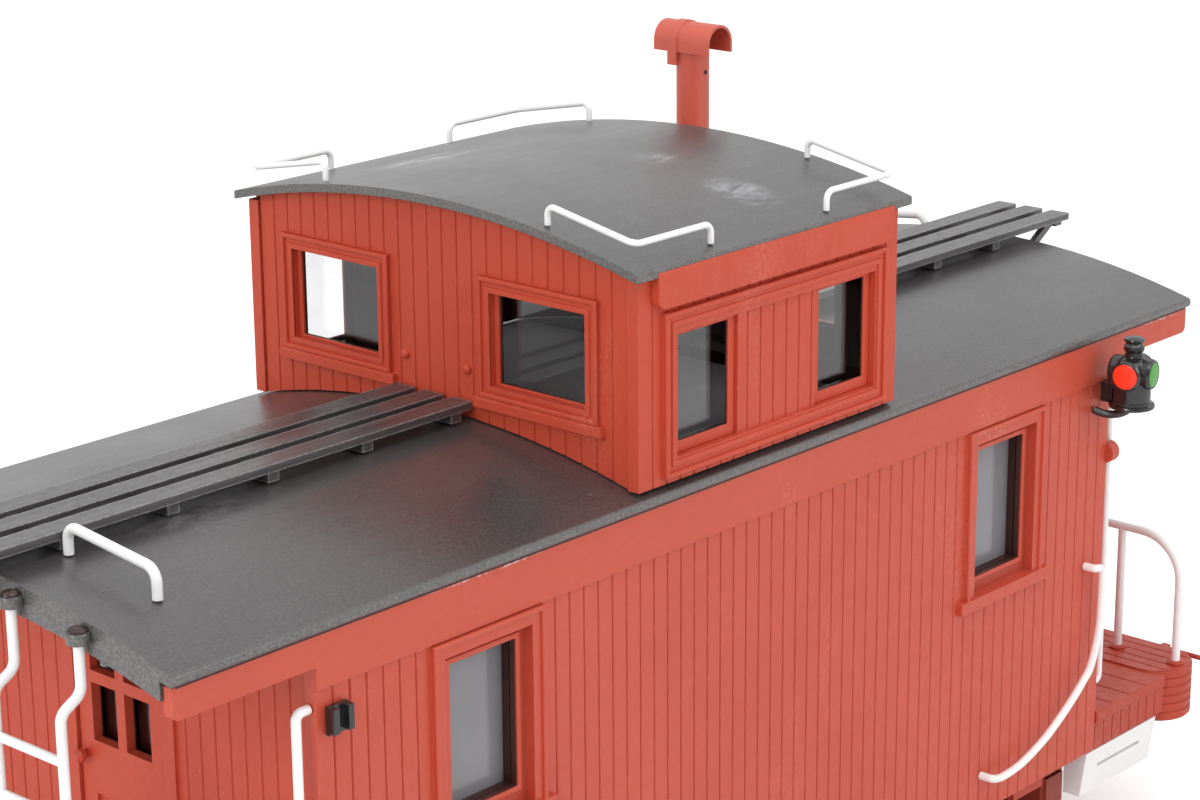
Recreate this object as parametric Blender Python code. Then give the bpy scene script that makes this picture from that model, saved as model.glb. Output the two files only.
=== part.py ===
# Short eight-wheel caboose, a model for 45 mm track
# Metres, +Z up, the flanges stand on Z = 0 and the car runs along X
# The front end lies toward -X, the rear end with the marker lamps toward +X
import math

import bmesh
import bpy
from mathutils import Matrix, Vector

for old in list(bpy.data.objects):
    bpy.data.objects.remove(old, do_unlink=True)

# Clearances and common sizes
seat_gap = 0.0003
running_gap = 0.0004
overrun = 0.002
sink = 0.0005
rod_sides = 6
arc_steps = 4
corner_steps = 3
flat_degrees = 0.02

# Wheels on axles
rail_gauge = 0.045
gauge_play = 0.0014
tread_diameter = 0.031
flange_depth = 0.003
flange_thickness = 0.0017
tread_width = 0.0052
tread_taper = 0.0003
rim_thickness = 0.0027
web_thickness = 0.0022
hub_diameter = 0.0082
hub_length = 0.0068
axle_diameter = 0.0044
journal_diameter = 0.0030
journal_length = 0.0050
wheel_segments = 16

# Trucks
truck_inset = 0.0252
truck_wheelbase = 0.056
bar_width = 0.0042
bar_thickness = 0.0017
box_width = 0.0100
box_height = 0.0110
box_depth = 0.0080
box_lid_thickness = 0.0010
box_lid_share = 0.76
column_width = 0.0032
column_spacing = 0.0165
arch_rise = 0.0076
spring_diameter = 0.0052
spring_wire_share = 0.22
spring_turns = 3
truck_bolster_width = 0.0125
truck_bolster_height = 0.0078
side_frame_reach = 0.0445
king_pin_diameter = 0.0044
king_pin_head_diameter = 0.0080
king_pin_head_height = 0.0016
centre_plate_diameter = 0.0160
centre_plate_height = 0.0030

# Underframe
sill_height = 0.0317
deck_drop = 0.0108
floor_thickness = 0.0030
centre_sill_width = 0.0160
centre_sill_wall = 0.0024
centre_sill_depth = 0.0048
bolster_width = 0.0130
needle_beam_spacing = 0.0600
needle_beam_width = 0.0060
truss_rod_diameter = 0.0018
truss_rod_drop = 0.0120
queen_post_width = 0.0032
brake_cylinder_diameter = 0.0140
brake_cylinder_length = 0.0260

# Body
body_length = 0.2724
body_width = 0.1176
body_height = 0.1153
wall_thickness = 0.0030
board_pitch = 0.0044
groove_width = 0.0006
groove_depth = 0.0005
letterboard_height = 0.0115
letterboard_thickness = 0.0006
fascia_height = 0.0065
fascia_thickness = 0.0022
fascia_end_inset = 0.0006
fascia_end_round = 0.0014

# Windows in the body sides
side_window_inset = 0.0460
side_window_width = 0.0250
side_window_height = 0.0388
side_window_drop = 0.0174
sash_recess = 0.0015
sash_stile = 0.0030
sash_top_rail = 0.0026
sash_bottom_rail = 0.0040
trim_width = 0.0034
trim_thickness = 0.0008
window_sill_height = 0.0030
window_sill_extra = 0.0024
window_sill_thickness = 0.0015
glass_thickness = 0.0010
glass_lap = 0.0040

# Doors
door_width = 0.0266
door_top_drop = 0.0085
door_threshold = 0.0015
door_thickness = 0.0026
door_recess = 0.0006
stile_width = 0.0042
muntin_width = 0.0026
door_light_height = 0.0150
door_light_drop = 0.0040
door_panel_gap = 0.0095
panel_depth = 0.0010
knob_diameter = 0.0030
knob_height_share = 0.60
door_casing_width = 0.0034

# Main roof
roof_end_overhang = 0.0352
roof_side_overhang = 0.0010
roof_rise = 0.0080
roof_thickness = 0.0022
roof_rim_depth = 0.0062
roof_rim_thickness = 0.0018
roof_segments = 20

# Running boards
plank_width = 0.0057
plank_gap = 0.0029
plank_thickness = 0.0018
plank_height = 0.0043
plank_overhang = 0.0171
cleat_width = 0.0030
cleat_pitch = 0.0264
cleat_inset = 0.0042
board_bracket_width = 0.0018
board_bracket_drop = 0.0085

# Cupola
cupola_length = 0.0886
cupola_height = 0.0469
cupola_roof_length = 0.0938
cupola_roof_overhang = 0.0019
cupola_roof_rise = 0.0078
cupola_roof_thickness = 0.0019
cupola_end_window_inset = 0.0170
cupola_end_window_corner = 0.0143
cupola_end_window_height = 0.0207
cupola_end_window_rise = 0.0167
cupola_sill_drop = 0.0047
cupola_sill_height = 0.0019
cupola_side_window_width = 0.0208
cupola_side_window_height = 0.0269
cupola_side_window_rise = 0.0068
cupola_side_window_spacing = 0.0476
cupola_side_window_shift = 0.0012
cupola_trim_width = 0.0040
cornice_height = 0.0048
cornice_thickness = 0.0014
cornice_inset = 0.0045
cornice_round = 0.0024
latch_diameter = 0.0022
latch_height = 0.0190
latch_offset = 0.0095
glazing_gap = 0.0004

# Smoke pipe
pipe_diameter = 0.0081
pipe_x = 0.0715
pipe_y = 0.0240
pipe_height = 0.0614
cap_width = 0.0094
cap_length = 0.0172
cap_rise = 0.0019
cap_wall = 0.0007
cap_skirt = 0.0024
cap_strap_width = 0.0028
cap_strap_shift = 0.0026
cap_strap_drop = 0.0032
cap_strap_proud = 0.0004
pipe_collar_diameter = 0.0120
pipe_collar_height = 0.0030

# Ladders and railings
ladder_offset = 0.0268
ladder_width = 0.0195
ladder_rod = 0.0021
ladder_standoff = 0.0016
ladder_jog_drop = 0.0115
ladder_jog_rise = 0.0055
rung_pitch = 0.0116
first_rung_drop = 0.0208
bend_radius = 0.0030
boss_diameter = 0.0045
boss_drop = 0.0018
boss_height = 0.0022
railing_rod = 0.0023
railing_share = 0.51
railing_height = 0.0352
railing_corner_inset = 0.0013
railing_post_pitch = 0.0183
railing_bend = 0.0120
gate_half_width = 0.0140

# Platforms and steps
platform_length = 0.0320
end_beam_depth = 0.0193
end_beam_height = 0.0145
end_beam_overhang = 0.0022
end_beam_step = 0.0005
beam_groove_count = 4
deck_plank_width = 0.0083
deck_edge_height = 0.0034
deck_edge_proud = 0.0004
cut_lever_rod = 0.0015
cut_lever_inner = 0.0130
cut_lever_overhang = 0.0060
cut_lever_hook = 0.0050
lever_eye_width = 0.0022
lever_eye_inner = 0.0160
lever_eye_inset = 0.00335
step_length = 0.0338
step_start = 0.0014
step_height = 0.0125
step_lean = 0.0018
step_depth = 0.0068
step_sheet = 0.0014
step_slot_length = 0.0204
step_slot_rise = 0.0066
step_slot_height = 0.0010

# Roof and cupola grabs, side and end grabs
roof_grab_rod = 0.0021
roof_grab_inset = 0.0156
roof_grab_near = 0.0129
roof_grab_far = 0.0385
roof_grab_height = 0.0062
cupola_grab_rod = 0.0014
cupola_grab_inset = 0.0032
cupola_grab_height = 0.0042
cupola_grab_length = 0.0240
side_grab_rod = 0.0020
side_grab_standoff = 0.0034
side_grab_points_share = ((0.078, 0.0), (0.02, 0.015), (0.0, 0.06), (0.0, 0.22), (0.012, 0.40),
                          (0.078, 0.595), (0.147, 0.667), (0.25, 0.75), (0.40, 0.848), (0.537, 0.919),
                          (0.722, 0.982), (0.878, 1.0), (0.95, 0.992), (1.0, 0.975))
side_grab_run = 0.0475
side_grab_drop = 0.0442
side_grab_inset = 0.0048
side_grab_foot = 0.0093
end_grab_inset = 0.0018
end_grab_top = 0.0179
end_grab_foot = 0.0077
end_grab_standoff = 0.0035

# Marker lamps
lamp_diameter = 0.0112
lamp_standoff = 0.0096
lamp_corner_inset = 0.0047
lamp_drop = 0.0107
lens_diameter = 0.0065
lens_reach = 0.0056
lens_proud = 0.0002
lens_bezel = 0.0009
lamp_arm_width = 0.0024
lamp_arm_height = 0.0018
lamp_profile_shares = ((0.0, -0.90), (0.96, -0.90), (0.96, -0.78), (0.79, -0.69), (0.79, 0.34), (0.42, 0.48),
                       (0.37, 0.56), (0.50, 0.70), (0.40, 0.84), (0.47, 0.95), (0.47, 1.06), (0.0, 1.06))
lamp_half_height = 0.0105
bracket_width = 0.0052
bracket_height = 0.0058
bracket_plate = 0.0009
bracket_depth = 0.0024
bracket_rib = 0.0014
bracket_drop = 0.0204

# Couplers
coupler_height = 0.0286
shank_width = 0.0062
shank_height = 0.0046
coupler_head_length = 0.0150
coupler_head_width = 0.0140
coupler_head_height = 0.0092
coupler_pin_diameter = 0.0032
coupler_pin_inset = 0.0250
coupler_swing_degrees = 8.0
draft_box_width = 0.0200
knuckle_gap_share = 0.20

# Places worked out from the sizes
tread_radius = tread_diameter / 2
axle_z = flange_depth + tread_radius
rail_z = flange_depth
sill_z = rail_z + sill_height
eave_z = sill_z + body_height
deck_z = sill_z + deck_drop
half_body = body_length / 2
half_width = body_width / 2
half_roof = half_body + roof_end_overhang
side_window_x = half_body - side_window_inset
half_cupola = cupola_length / 2
roof_half_width = half_width + roof_side_overhang
cupola_roof_half_width = half_width + cupola_roof_overhang
cupola_roof_half_length = cupola_roof_length / 2
wall_top_z = eave_z - roof_thickness - seat_gap
cupola_eave_z = eave_z + cupola_height + cupola_roof_thickness
beam_inner_x = half_body + platform_length
beam_outer_x = beam_inner_x + end_beam_depth
beam_mid_x = (beam_inner_x + beam_outer_x) / 2
beam_top_z = deck_z + end_beam_step
beam_bottom_z = beam_top_z - end_beam_height
inner_half_width = half_width - wall_thickness
truck_x = half_body - truck_inset
bolster_bottom_z = axle_z + truck_bolster_height + centre_plate_height + seat_gap * 2
truck_bolster_top_z = bolster_bottom_z - centre_plate_height - seat_gap
flange_inner_y = (rail_gauge - gauge_play) / 2 - flange_thickness
ends = (("front", -1), ("rear", 1))
sides = (("left", -1), ("right", 1))


# Materials
def paint(name, colour, rough=0.45, metal=0.0, glass=0.0):
    material = bpy.data.materials.new(name)
    material.use_nodes = True
    shader = material.node_tree.nodes["Principled BSDF"]
    shader.inputs["Base Color"].default_value = (*colour, 1.0)
    shader.inputs["Roughness"].default_value = rough
    shader.inputs["Metallic"].default_value = metal
    shader.inputs["Transmission Weight"].default_value = glass
    return material


red = paint("oxide red plastic", (0.48, 0.075, 0.05))
black = paint("charcoal plastic", (0.045, 0.043, 0.046), 0.55)
white = paint("white plastic", (0.85, 0.85, 0.83), 0.3)
steel = paint("plated steel", (0.45, 0.44, 0.42), 0.35, 1.0)
clear = paint("smoky clear plastic", (0.75, 0.78, 0.80), 0.05, 0.0, 0.9)


# Basic solids, each returned as a bmesh
def box(x0, x1, y0, y1, z0, z1):
    bm = bmesh.new()
    bmesh.ops.create_cube(bm, size=1.0)
    low = Vector((min(x0, x1), min(y0, y1), min(z0, z1)))
    high = Vector((max(x0, x1), max(y0, y1), max(z0, z1)))
    size = high - low
    middle = (low + high) / 2
    for vert in bm.verts:
        vert.co = Vector([vert.co[i] * size[i] + middle[i] for i in range(3)])
    return bm


def prism(outline, axis, low, high):
    """Extrude a closed outline, given in the two other axes in order, along one axis."""
    others = [i for i in range(3) if i != axis]
    bm = bmesh.new()
    rings = []
    for place in (low, high):
        ring = []
        for a, b in outline:
            point = [0.0, 0.0, 0.0]
            point[axis] = place
            point[others[0]] = a
            point[others[1]] = b
            ring.append(bm.verts.new(point))
        rings.append(ring)
    count = len(outline)
    bm.faces.new(rings[0])
    bm.faces.new(rings[1])
    for i in range(count):
        j = (i + 1) % count
        bm.faces.new((rings[0][i], rings[0][j], rings[1][j], rings[1][i]))
    bmesh.ops.recalc_face_normals(bm, faces=bm.faces)
    return bm


def turned(profile, segments, centre=(0, 0, 0), axis="Z"):
    """Spin a profile of radius and height pairs; a zero radius closes on the axis."""
    bm = bmesh.new()
    rings = []
    for radius, height in profile:
        if radius == 0:
            rings.append([bm.verts.new((0, 0, height))])
            continue
        ring = []
        for i in range(segments):
            angle = math.tau * i / segments
            ring.append(bm.verts.new((radius * math.cos(angle), radius * math.sin(angle), height)))
        rings.append(ring)
    closed = len(rings[0]) > 1
    pairs = list(zip(rings, rings[1:]))
    if closed:
        pairs.append((rings[-1], rings[0]))
    for first, second in pairs:
        for i in range(segments):
            j = (i + 1) % segments
            corners = [first[i % len(first)], first[j % len(first)],
                       second[j % len(second)], second[i % len(second)]]
            unique = []
            for corner in corners:
                if corner not in unique:
                    unique.append(corner)
            if len(unique) > 2:
                bm.faces.new(unique)
    bmesh.ops.recalc_face_normals(bm, faces=bm.faces)
    turn = {"X": Matrix.Rotation(math.pi / 2, 4, "Y"), "Y": Matrix.Rotation(-math.pi / 2, 4, "X")}
    bm.transform(turn.get(axis, Matrix.Identity(4)))
    bm.transform(Matrix.Translation(centre))
    return bm


def cylinder(radius, low, high, centre, axis="Z", segments=12):
    return turned(((0, low), (radius, low), (radius, high), (0, high)), segments, centre, axis)


def rounded(points, radius, steps=arc_steps):
    """Replace the inner corners of a path by arcs."""
    points = [Vector(p) for p in points]
    path = [points[0]]
    for before, corner, after in zip(points, points[1:], points[2:]):
        a = (before - corner).normalized()
        b = (after - corner).normalized()
        angle = a.angle(b)
        reach = min(radius / math.tan(angle / 2), (before - corner).length * 0.49,
                    (after - corner).length * 0.49)
        bow = reach * math.tan(angle / 2)
        centre = corner + (a + b).normalized() * (bow / math.sin(angle / 2))
        start = corner + a * reach - centre
        end = corner + b * reach - centre
        sweep = start.angle(end)
        for i in range(steps + 1):
            share = i / steps
            one = math.sin((1 - share) * sweep) / math.sin(sweep)
            two = math.sin(share * sweep) / math.sin(sweep)
            path.append(centre + start * one + end * two)
    path.append(points[-1])
    return path


def rod(path, diameter, sides_count=rod_sides):
    """Sweep a round section along a path with mitred joints and flat ends."""
    path = [Vector(p) for p in path]
    bm = bmesh.new()
    forward = (path[1] - path[0]).normalized()
    guide = Vector((0, 0, 1)) if abs(forward.z) < 0.9 else Vector((1, 0, 0))
    across = forward.cross(guide).normalized()
    rings = []
    for i, point in enumerate(path):
        into = (point - path[i - 1]).normalized() if i else forward
        away = (path[i + 1] - point).normalized() if i + 1 < len(path) else into
        if i:
            across = (across - into * across.dot(into)).normalized()
        up = across.cross(into).normalized()
        plane = (into + away).normalized()
        ring = []
        for k in range(sides_count):
            angle = math.tau * (k + 0.5) / sides_count
            offset = (across * math.cos(angle) + up * math.sin(angle)) * diameter / 2
            offset -= into * (offset.dot(plane) / into.dot(plane))
            ring.append(bm.verts.new(point + offset))
        rings.append(ring)
    for first, second in zip(rings, rings[1:]):
        for k in range(sides_count):
            n = (k + 1) % sides_count
            bm.faces.new((first[k], first[n], second[n], second[k]))
    bm.faces.new(rings[0])
    bm.faces.new(rings[-1])
    bmesh.ops.recalc_face_normals(bm, faces=bm.faces)
    return bm


# Joining and cutting
def held(bm, name="scratch"):
    mesh = bpy.data.meshes.new(name)
    bm.to_mesh(mesh)
    bm.free()
    item = bpy.data.objects.new(name, mesh)
    bpy.context.scene.collection.objects.link(item)
    return item


def combined(base, tools, operation):
    """Join tools to a base solid, or cut them from it, and return the result."""
    if not tools:
        return base
    host = held(base)
    group = bpy.data.collections.new("tools")
    bpy.context.scene.collection.children.link(group)
    items = []
    for tool in tools:
        item = held(tool)
        bpy.context.scene.collection.objects.unlink(item)
        group.objects.link(item)
        items.append(item)
    step = host.modifiers.new("step", "BOOLEAN")
    step.operation = operation
    step.operand_type = "COLLECTION"
    step.collection = group
    step.solver = "EXACT"
    graph = bpy.context.evaluated_depsgraph_get()
    mesh = bpy.data.meshes.new_from_object(host.evaluated_get(graph))
    result = bmesh.new()
    result.from_mesh(mesh)
    for item in items + [host]:
        bpy.data.objects.remove(item, do_unlink=True)
    bpy.data.collections.remove(group)
    bpy.data.meshes.remove(mesh)
    return result


def joined(parts):
    return combined(parts[0], parts[1:], "UNION")


def carved(base, tools):
    return combined(base, tools, "DIFFERENCE")


def mirrored(bm, x_sign=1, y_sign=1):
    if x_sign < 0:
        bm.transform(Matrix.Scale(-1, 4, (1, 0, 0)))
    if y_sign < 0:
        bm.transform(Matrix.Scale(-1, 4, (0, 1, 0)))
    if x_sign * y_sign < 0:
        bmesh.ops.reverse_faces(bm, faces=bm.faces)
    return bm


def place(name, bm, material, origin=(0, 0, 0)):
    """Make the finished object, with its origin where a joint needs it."""
    bmesh.ops.remove_doubles(bm, verts=bm.verts, dist=seat_gap / 100)
    bmesh.ops.dissolve_limit(bm, angle_limit=math.radians(flat_degrees), verts=bm.verts, edges=bm.edges)
    bm.transform(Matrix.Translation(-Vector(origin)))
    item = held(bm, name)
    item.data.materials.clear()
    item.data.materials.append(material)
    item.location = origin
    return item


# Shapes shared by several pieces
def arc_height(y, half_chord, rise):
    radius = (half_chord ** 2 + rise ** 2) / (2 * rise)
    return math.sqrt(radius ** 2 - y ** 2) - (radius - rise)


def main_roof_top(y):
    return eave_z + arc_height(y, roof_half_width, roof_rise)


def cupola_roof_top(y):
    return cupola_eave_z + arc_height(y, cupola_roof_half_width, cupola_roof_rise)


def arc_points(top, half_chord, drop, reach=None):
    """Points across a roof at equal steps, lowered by a drop, inside an optional reach."""
    limit = half_chord if reach is None else reach
    count = max(2, round(roof_segments * limit / half_chord))
    return [(y, top(y) - drop) for y in [limit * (2 * i / count - 1) for i in range(count + 1)]]


def arc_slab(top, half_chord, thickness, x0, x1):
    upper = arc_points(top, half_chord, 0)
    lower = arc_points(top, half_chord, thickness)
    return prism(upper + lower[::-1], 0, x0, x1)


def grooved_edge(start, end, face, inward):
    """Points along a boarded face from start to end, with a V groove at each joint."""
    count = max(1, round(abs(end - start) / board_pitch))
    pitch = (end - start) / count
    half = math.copysign(groove_width / 2, end - start)
    points = [(start, face)]
    for i in range(1, count):
        place_at = start + pitch * i
        points += [(place_at - half, face), (place_at, face + inward * groove_depth), (place_at + half, face)]
    points.append((end, face))
    return points


def boarded_wall(start, end, face, inward, thickness):
    """Plan outline of a boarded wall whose outer face has grooves."""
    return grooved_edge(start, end, face, inward) + [(end, face + inward * thickness),
                                                     (start, face + inward * thickness)]


def rounded_strip(end, low, top, radius, y0, y1):
    """Upright strip from -end to end whose two lower corners are rounded."""
    turns = [math.pi / 2 * i / corner_steps for i in range(corner_steps + 1)]
    corner = [(radius * (1 - math.cos(t)), radius * (1 - math.sin(t))) for t in turns]
    outline = [(-end, top)] + [(-end + x, low + z) for x, z in corner]
    outline += [(end - x, low + z) for x, z in corner[::-1]] + [(end, top)]
    return prism(outline, 1, min(y0, y1), max(y0, y1))


def frame_solid(axis, a0, a1, z0, z1, width, low, high, inner=0.0):
    """A flat ring around an opening in a wall that faces along X or Y."""
    if axis == 1:
        outer = box(a0 - width, a1 + width, low, high, z0 - width, z1 + width)
        hole = box(a0 + inner, a1 - inner, low - overrun, high + overrun, z0 + inner, z1 - inner)
    else:
        outer = box(low, high, a0 - width, a1 + width, z0 - width, z1 + width)
        hole = box(low - overrun, high + overrun, a0 + inner, a1 - inner, z0 + inner, z1 - inner)
    return outer, hole


# Wheelsets
def wheel_profile():
    """Radius and distance along the axle from the wheel's inner face."""
    flange_radius = tread_radius + flange_depth
    rim_inner = tread_radius - rim_thickness
    width = flange_thickness + tread_width
    web_low = (width - web_thickness) / 2
    web_high = web_low + web_thickness
    hub_low = (width - hub_length) / 2
    hub_high = hub_low + hub_length
    hub = hub_diameter / 2
    return ((hub, hub_low), (hub, web_low), (rim_inner, web_low), (rim_inner, 0),
            (tread_radius + flange_depth / 3, 0), (flange_radius, flange_thickness / 3),
            (flange_radius, flange_thickness * 2 / 3), (tread_radius, flange_thickness),
            (tread_radius - tread_taper, width), (rim_inner, width), (rim_inner, web_high),
            (hub, web_high), (hub, hub_high))


def wheelset(name, x):
    """One turned body: journal, wheel, axle, wheel and journal."""
    wheel = [(radius, flange_inner_y + along) for radius, along in wheel_profile()]
    axle = axle_diameter / 2
    journal = journal_diameter / 2
    journal_end = journal_reach()
    half = [(axle, 0.0), (axle, wheel[0][1])] + wheel + [(axle, wheel[-1][1])]
    half += [(axle, journal_start()), (journal, journal_start()), (journal, journal_end), (0, journal_end)]
    other = [(radius, -along) for radius, along in half[1:]][::-1]
    profile = other + half[1:]
    place(name, turned(profile, wheel_segments, (0, 0, 0), "Y"), steel)
    bpy.data.objects[name].location = (x, 0, axle_z)


def journal_start():
    return side_frame_inner() - running_gap


def journal_reach():
    return side_frame_inner() + journal_length


def side_frame_inner():
    return side_frame_reach - box_depth


# Trucks
def arch_path(centre_y, top_z, ends_z, half_length, waist):
    """Centre line of one bar of an arch-bar side frame."""
    return [(-half_length, centre_y, ends_z), (-waist - arch_rise, centre_y, ends_z),
            (-waist, centre_y, top_z), (waist, centre_y, top_z),
            (waist + arch_rise, centre_y, ends_z), (half_length, centre_y, ends_z)]


def flat_bar(path, width, thickness):
    """A bent flat bar: a ribbon along a path in the XZ plane."""
    upper = []
    lower = []
    for i, (x, y, z) in enumerate(path):
        before = Vector(path[max(i - 1, 0)])
        after = Vector(path[min(i + 1, len(path) - 1)])
        here = Vector((x, y, z))
        a = (here - before).normalized() if i else (after - here).normalized()
        b = (after - here).normalized() if i + 1 < len(path) else a
        slope = (a + b).normalized()
        normal = Vector((-slope.z, 0, slope.x))
        stretch = 1 / max(0.5, slope.dot(a))
        upper.append((x + normal.x * thickness / 2 * stretch, z + normal.z * thickness / 2 * stretch))
        lower.append((x - normal.x * thickness / 2 * stretch, z - normal.z * thickness / 2 * stretch))
    y = path[0][1]
    return prism(upper + lower[::-1], 1, y - width / 2, y + width / 2)


def coil_spring(x, y, low, high):
    """A stack of rings that reads as a coil, solid through its middle."""
    radius = spring_diameter / 2
    wire = radius * spring_wire_share
    profile = [(0, low)]
    pitch = (high - low) / spring_turns
    for i in range(spring_turns):
        base = low + pitch * i
        profile += [(radius - wire, base), (radius, base + pitch / 2)]
    profile += [(radius - wire, high), (0, high)]
    return turned(profile, 8, (x, y, 0))


def truck_side(sign):
    """Arch bars, journal boxes, columns and springs of one side frame."""
    y = sign * (side_frame_inner() + box_depth / 2)
    half_base = truck_wheelbase / 2
    half_length = half_base + box_width / 2
    waist = column_spacing / 2
    box_top = axle_z + box_height / 2
    top_z = truck_bolster_top_z + bar_thickness / 2 - sink
    bottom_z = axle_z - box_height / 2 - bar_thickness / 2
    parts = [flat_bar(arch_path(y, top_z, box_top + bar_thickness / 2 - sink / 2,
                                half_length, waist), bar_width, bar_thickness)]
    parts.append(flat_bar([(-half_length, y, bottom_z + sink / 2), (half_length, y, bottom_z + sink / 2)],
                          bar_width, bar_thickness))
    parts.append(flat_bar(arch_path(y, bottom_z + bar_thickness, box_top - bar_thickness / 2,
                                    half_length, waist), bar_width, bar_thickness))
    for x_sign in (-1, 1):
        x = x_sign * half_base
        parts.append(box(x - box_width / 2, x + box_width / 2, y - box_depth / 2, y + box_depth / 2,
                         axle_z - box_height / 2, axle_z + box_height / 2))
        lid_y = y + sign * box_depth / 2
        lid_x = box_width * box_lid_share / 2
        lid_z = box_height * box_lid_share / 2
        parts.append(box(x - lid_x, x + lid_x, lid_y - sign * sink, lid_y + sign * box_lid_thickness,
                         axle_z - lid_z, axle_z + lid_z))
        column_x = x_sign * waist
        parts.append(box(column_x - column_width / 2, column_x + column_width / 2, y - bar_width / 2,
                         y + bar_width / 2, bottom_z, top_z))
        parts.append(coil_spring(x_sign * spring_diameter * 0.56, y, bottom_z, axle_z + sink))
    return parts


def truck(name, x):
    """One rigid frame: two side frames joined by the bolster, the spring plank and the brake beams."""
    bolster_low = truck_bolster_top_z - truck_bolster_height
    reach = side_frame_inner() + box_depth / 2
    parts = [box(-truck_bolster_width / 2, truck_bolster_width / 2, -reach, reach, bolster_low,
                 truck_bolster_top_z)]
    for sign in (-1, 1):
        parts += truck_side(sign)
    plank_z = axle_z - box_height / 2
    parts.append(box(-column_spacing / 2, column_spacing / 2, -reach, reach, plank_z - bar_thickness / 2,
                     plank_z + bar_thickness / 2))
    body = joined(parts)
    bores = []
    for x_sign in (-1, 1):
        bores.append(cylinder(journal_diameter / 2 + running_gap, -(journal_reach() + running_gap),
                              journal_reach() + running_gap, (x_sign * truck_wheelbase / 2, 0, axle_z), "Y"))
    bores.append(cylinder(king_pin_diameter / 2 + running_gap, bolster_low - overrun,
                          truck_bolster_top_z + overrun, (0, 0, 0)))
    bores.append(cylinder(king_pin_head_diameter / 2 + running_gap, plank_z - overrun,
                          bolster_low + king_pin_head_height + running_gap, (0, 0, 0)))
    place(name, carved(body, bores), red)
    bpy.data.objects[name].location = (x, 0, 0)


# Underframe with platforms
def beam_outline():
    """Plan of one end beam with round ends, for the end toward +X."""
    radius = end_beam_depth / 2
    tip = half_width + end_beam_overhang
    centre = tip - radius
    points = []
    for i in range(13):
        angle = -math.pi * i / 12
        points.append((beam_mid_x + radius * math.cos(angle), -centre + radius * math.sin(angle)))
    for i in range(13):
        angle = math.pi - math.pi * i / 12
        points.append((beam_mid_x + radius * math.cos(angle), centre + radius * math.sin(angle)))
    return points


def platform(name, sign):
    """Deck, side fascia, end beam, draft box with the coupler's pin, and the cut lever of one end."""
    start = half_body + seat_gap
    parts = [box(start, beam_inner_x + overrun, -half_width, half_width, deck_z - floor_thickness, deck_z),
             prism(beam_outline(), 2, beam_bottom_z, beam_top_z)]
    for side in (-1, 1):
        face = side * half_width
        fascia = boarded_wall(start, beam_inner_x + overrun, face, -side, wall_thickness)
        parts.append(prism(fascia, 2, sill_z, deck_z - sink))
        parts.append(box(start, beam_inner_x + overrun, face + side * deck_edge_proud,
                         face - side * wall_thickness, deck_z - deck_edge_height, deck_z))
    parts += cut_lever(-sign)
    body = joined([carved(joined(parts), platform_cuts())] + draft_gear())
    place(name, mirrored(body, sign), red)


def cut_lever(side):
    """Rod along the outer face of the end beam that lifts the coupler's pin, in two eyes."""
    x = beam_outer_x + cut_lever_rod
    z = beam_top_z - cut_lever_rod
    tip = side * (half_width + end_beam_overhang + cut_lever_overhang)
    path = [(x, side * cut_lever_inner, z), (x, tip - side * cut_lever_rod, z), (x, tip, z - cut_lever_hook)]
    parts = [rod(path, cut_lever_rod)]
    straight = half_width + end_beam_overhang - end_beam_depth / 2
    for along in (lever_eye_inner, straight - lever_eye_inset):
        y = side * along
        parts.append(box(beam_outer_x - sink, x + cut_lever_rod / 3, y - lever_eye_width / 2,
                         y + lever_eye_width / 2, z - cut_lever_rod, z + cut_lever_rod * 0.9))
    return parts


def platform_cuts():
    """Grooves between the deck planks and along the beam's top, and the coupler's slot."""
    tools = []
    count = round(platform_length / deck_plank_width)
    for i in range(1, count):
        x = half_body + platform_length * i / count
        tools.append(v_groove_y(x, half_width + overrun, deck_z))
    for i in range(1, beam_groove_count + 1):
        x = beam_inner_x + end_beam_depth * i / (beam_groove_count + 1)
        tools.append(v_groove_y(x, half_width, beam_top_z))
    tools.append(box(half_body, beam_outer_x + overrun, -draft_slot() / 2, draft_slot() / 2,
                     beam_bottom_z - overrun, coupler_top() + running_gap))
    return tools


def v_groove_y(x, reach, top):
    half = groove_width / 2
    outline = ((x - half, top + sink), (x + half, top + sink), (x + half, top), (x, top - groove_depth),
               (x - half, top))
    return prism(outline, 1, -reach, reach)


def coupler_top():
    return rail_z + coupler_height + shank_height / 2


def draft_slot():
    swing = math.tan(math.radians(coupler_swing_degrees)) * (beam_outer_x - coupler_pin_x())
    return shank_width + 2 * (swing + running_gap * 2)


def coupler_pin_x():
    return beam_outer_x - coupler_pin_inset


def draft_gear():
    """The box over the coupler shank with the pin it swings on."""
    low = coupler_top() + running_gap
    pin_low = rail_z + coupler_height - shank_height / 2 - running_gap - king_pin_head_height
    return [box(half_body + seat_gap, beam_inner_x + sink, -draft_box_width / 2, draft_box_width / 2, low,
                deck_z - floor_thickness + sink),
            headed_pin(coupler_pin_x(), coupler_pin_diameter, coupler_pin_diameter * 1.8, pin_low,
                       pin_low + king_pin_head_height, low + sink)]


def body_bolster(sign):
    """Cross beam over a truck with its centre plate and king pin."""
    x = sign * truck_x
    reach = inner_half_width - seat_gap
    pin_low = truck_bolster_top_z - truck_bolster_height - king_pin_head_height
    pin_low -= running_gap
    head_z = truck_bolster_top_z - truck_bolster_height
    parts = [box(x - bolster_width / 2, x + bolster_width / 2, -reach, reach, bolster_bottom_z,
                 deck_z - floor_thickness + sink)]
    plate = centre_plate_diameter / 2
    pin = king_pin_diameter / 2
    head = king_pin_head_diameter / 2
    plate_z = truck_bolster_top_z + seat_gap
    parts.append(turned(((0, pin_low), (head, pin_low), (head, head_z - running_gap),
                         (pin, head_z - running_gap), (pin, plate_z), (plate, plate_z),
                         (plate, bolster_bottom_z + sink), (0, bolster_bottom_z + sink)), 18, (x, 0, 0)))
    return parts


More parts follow.
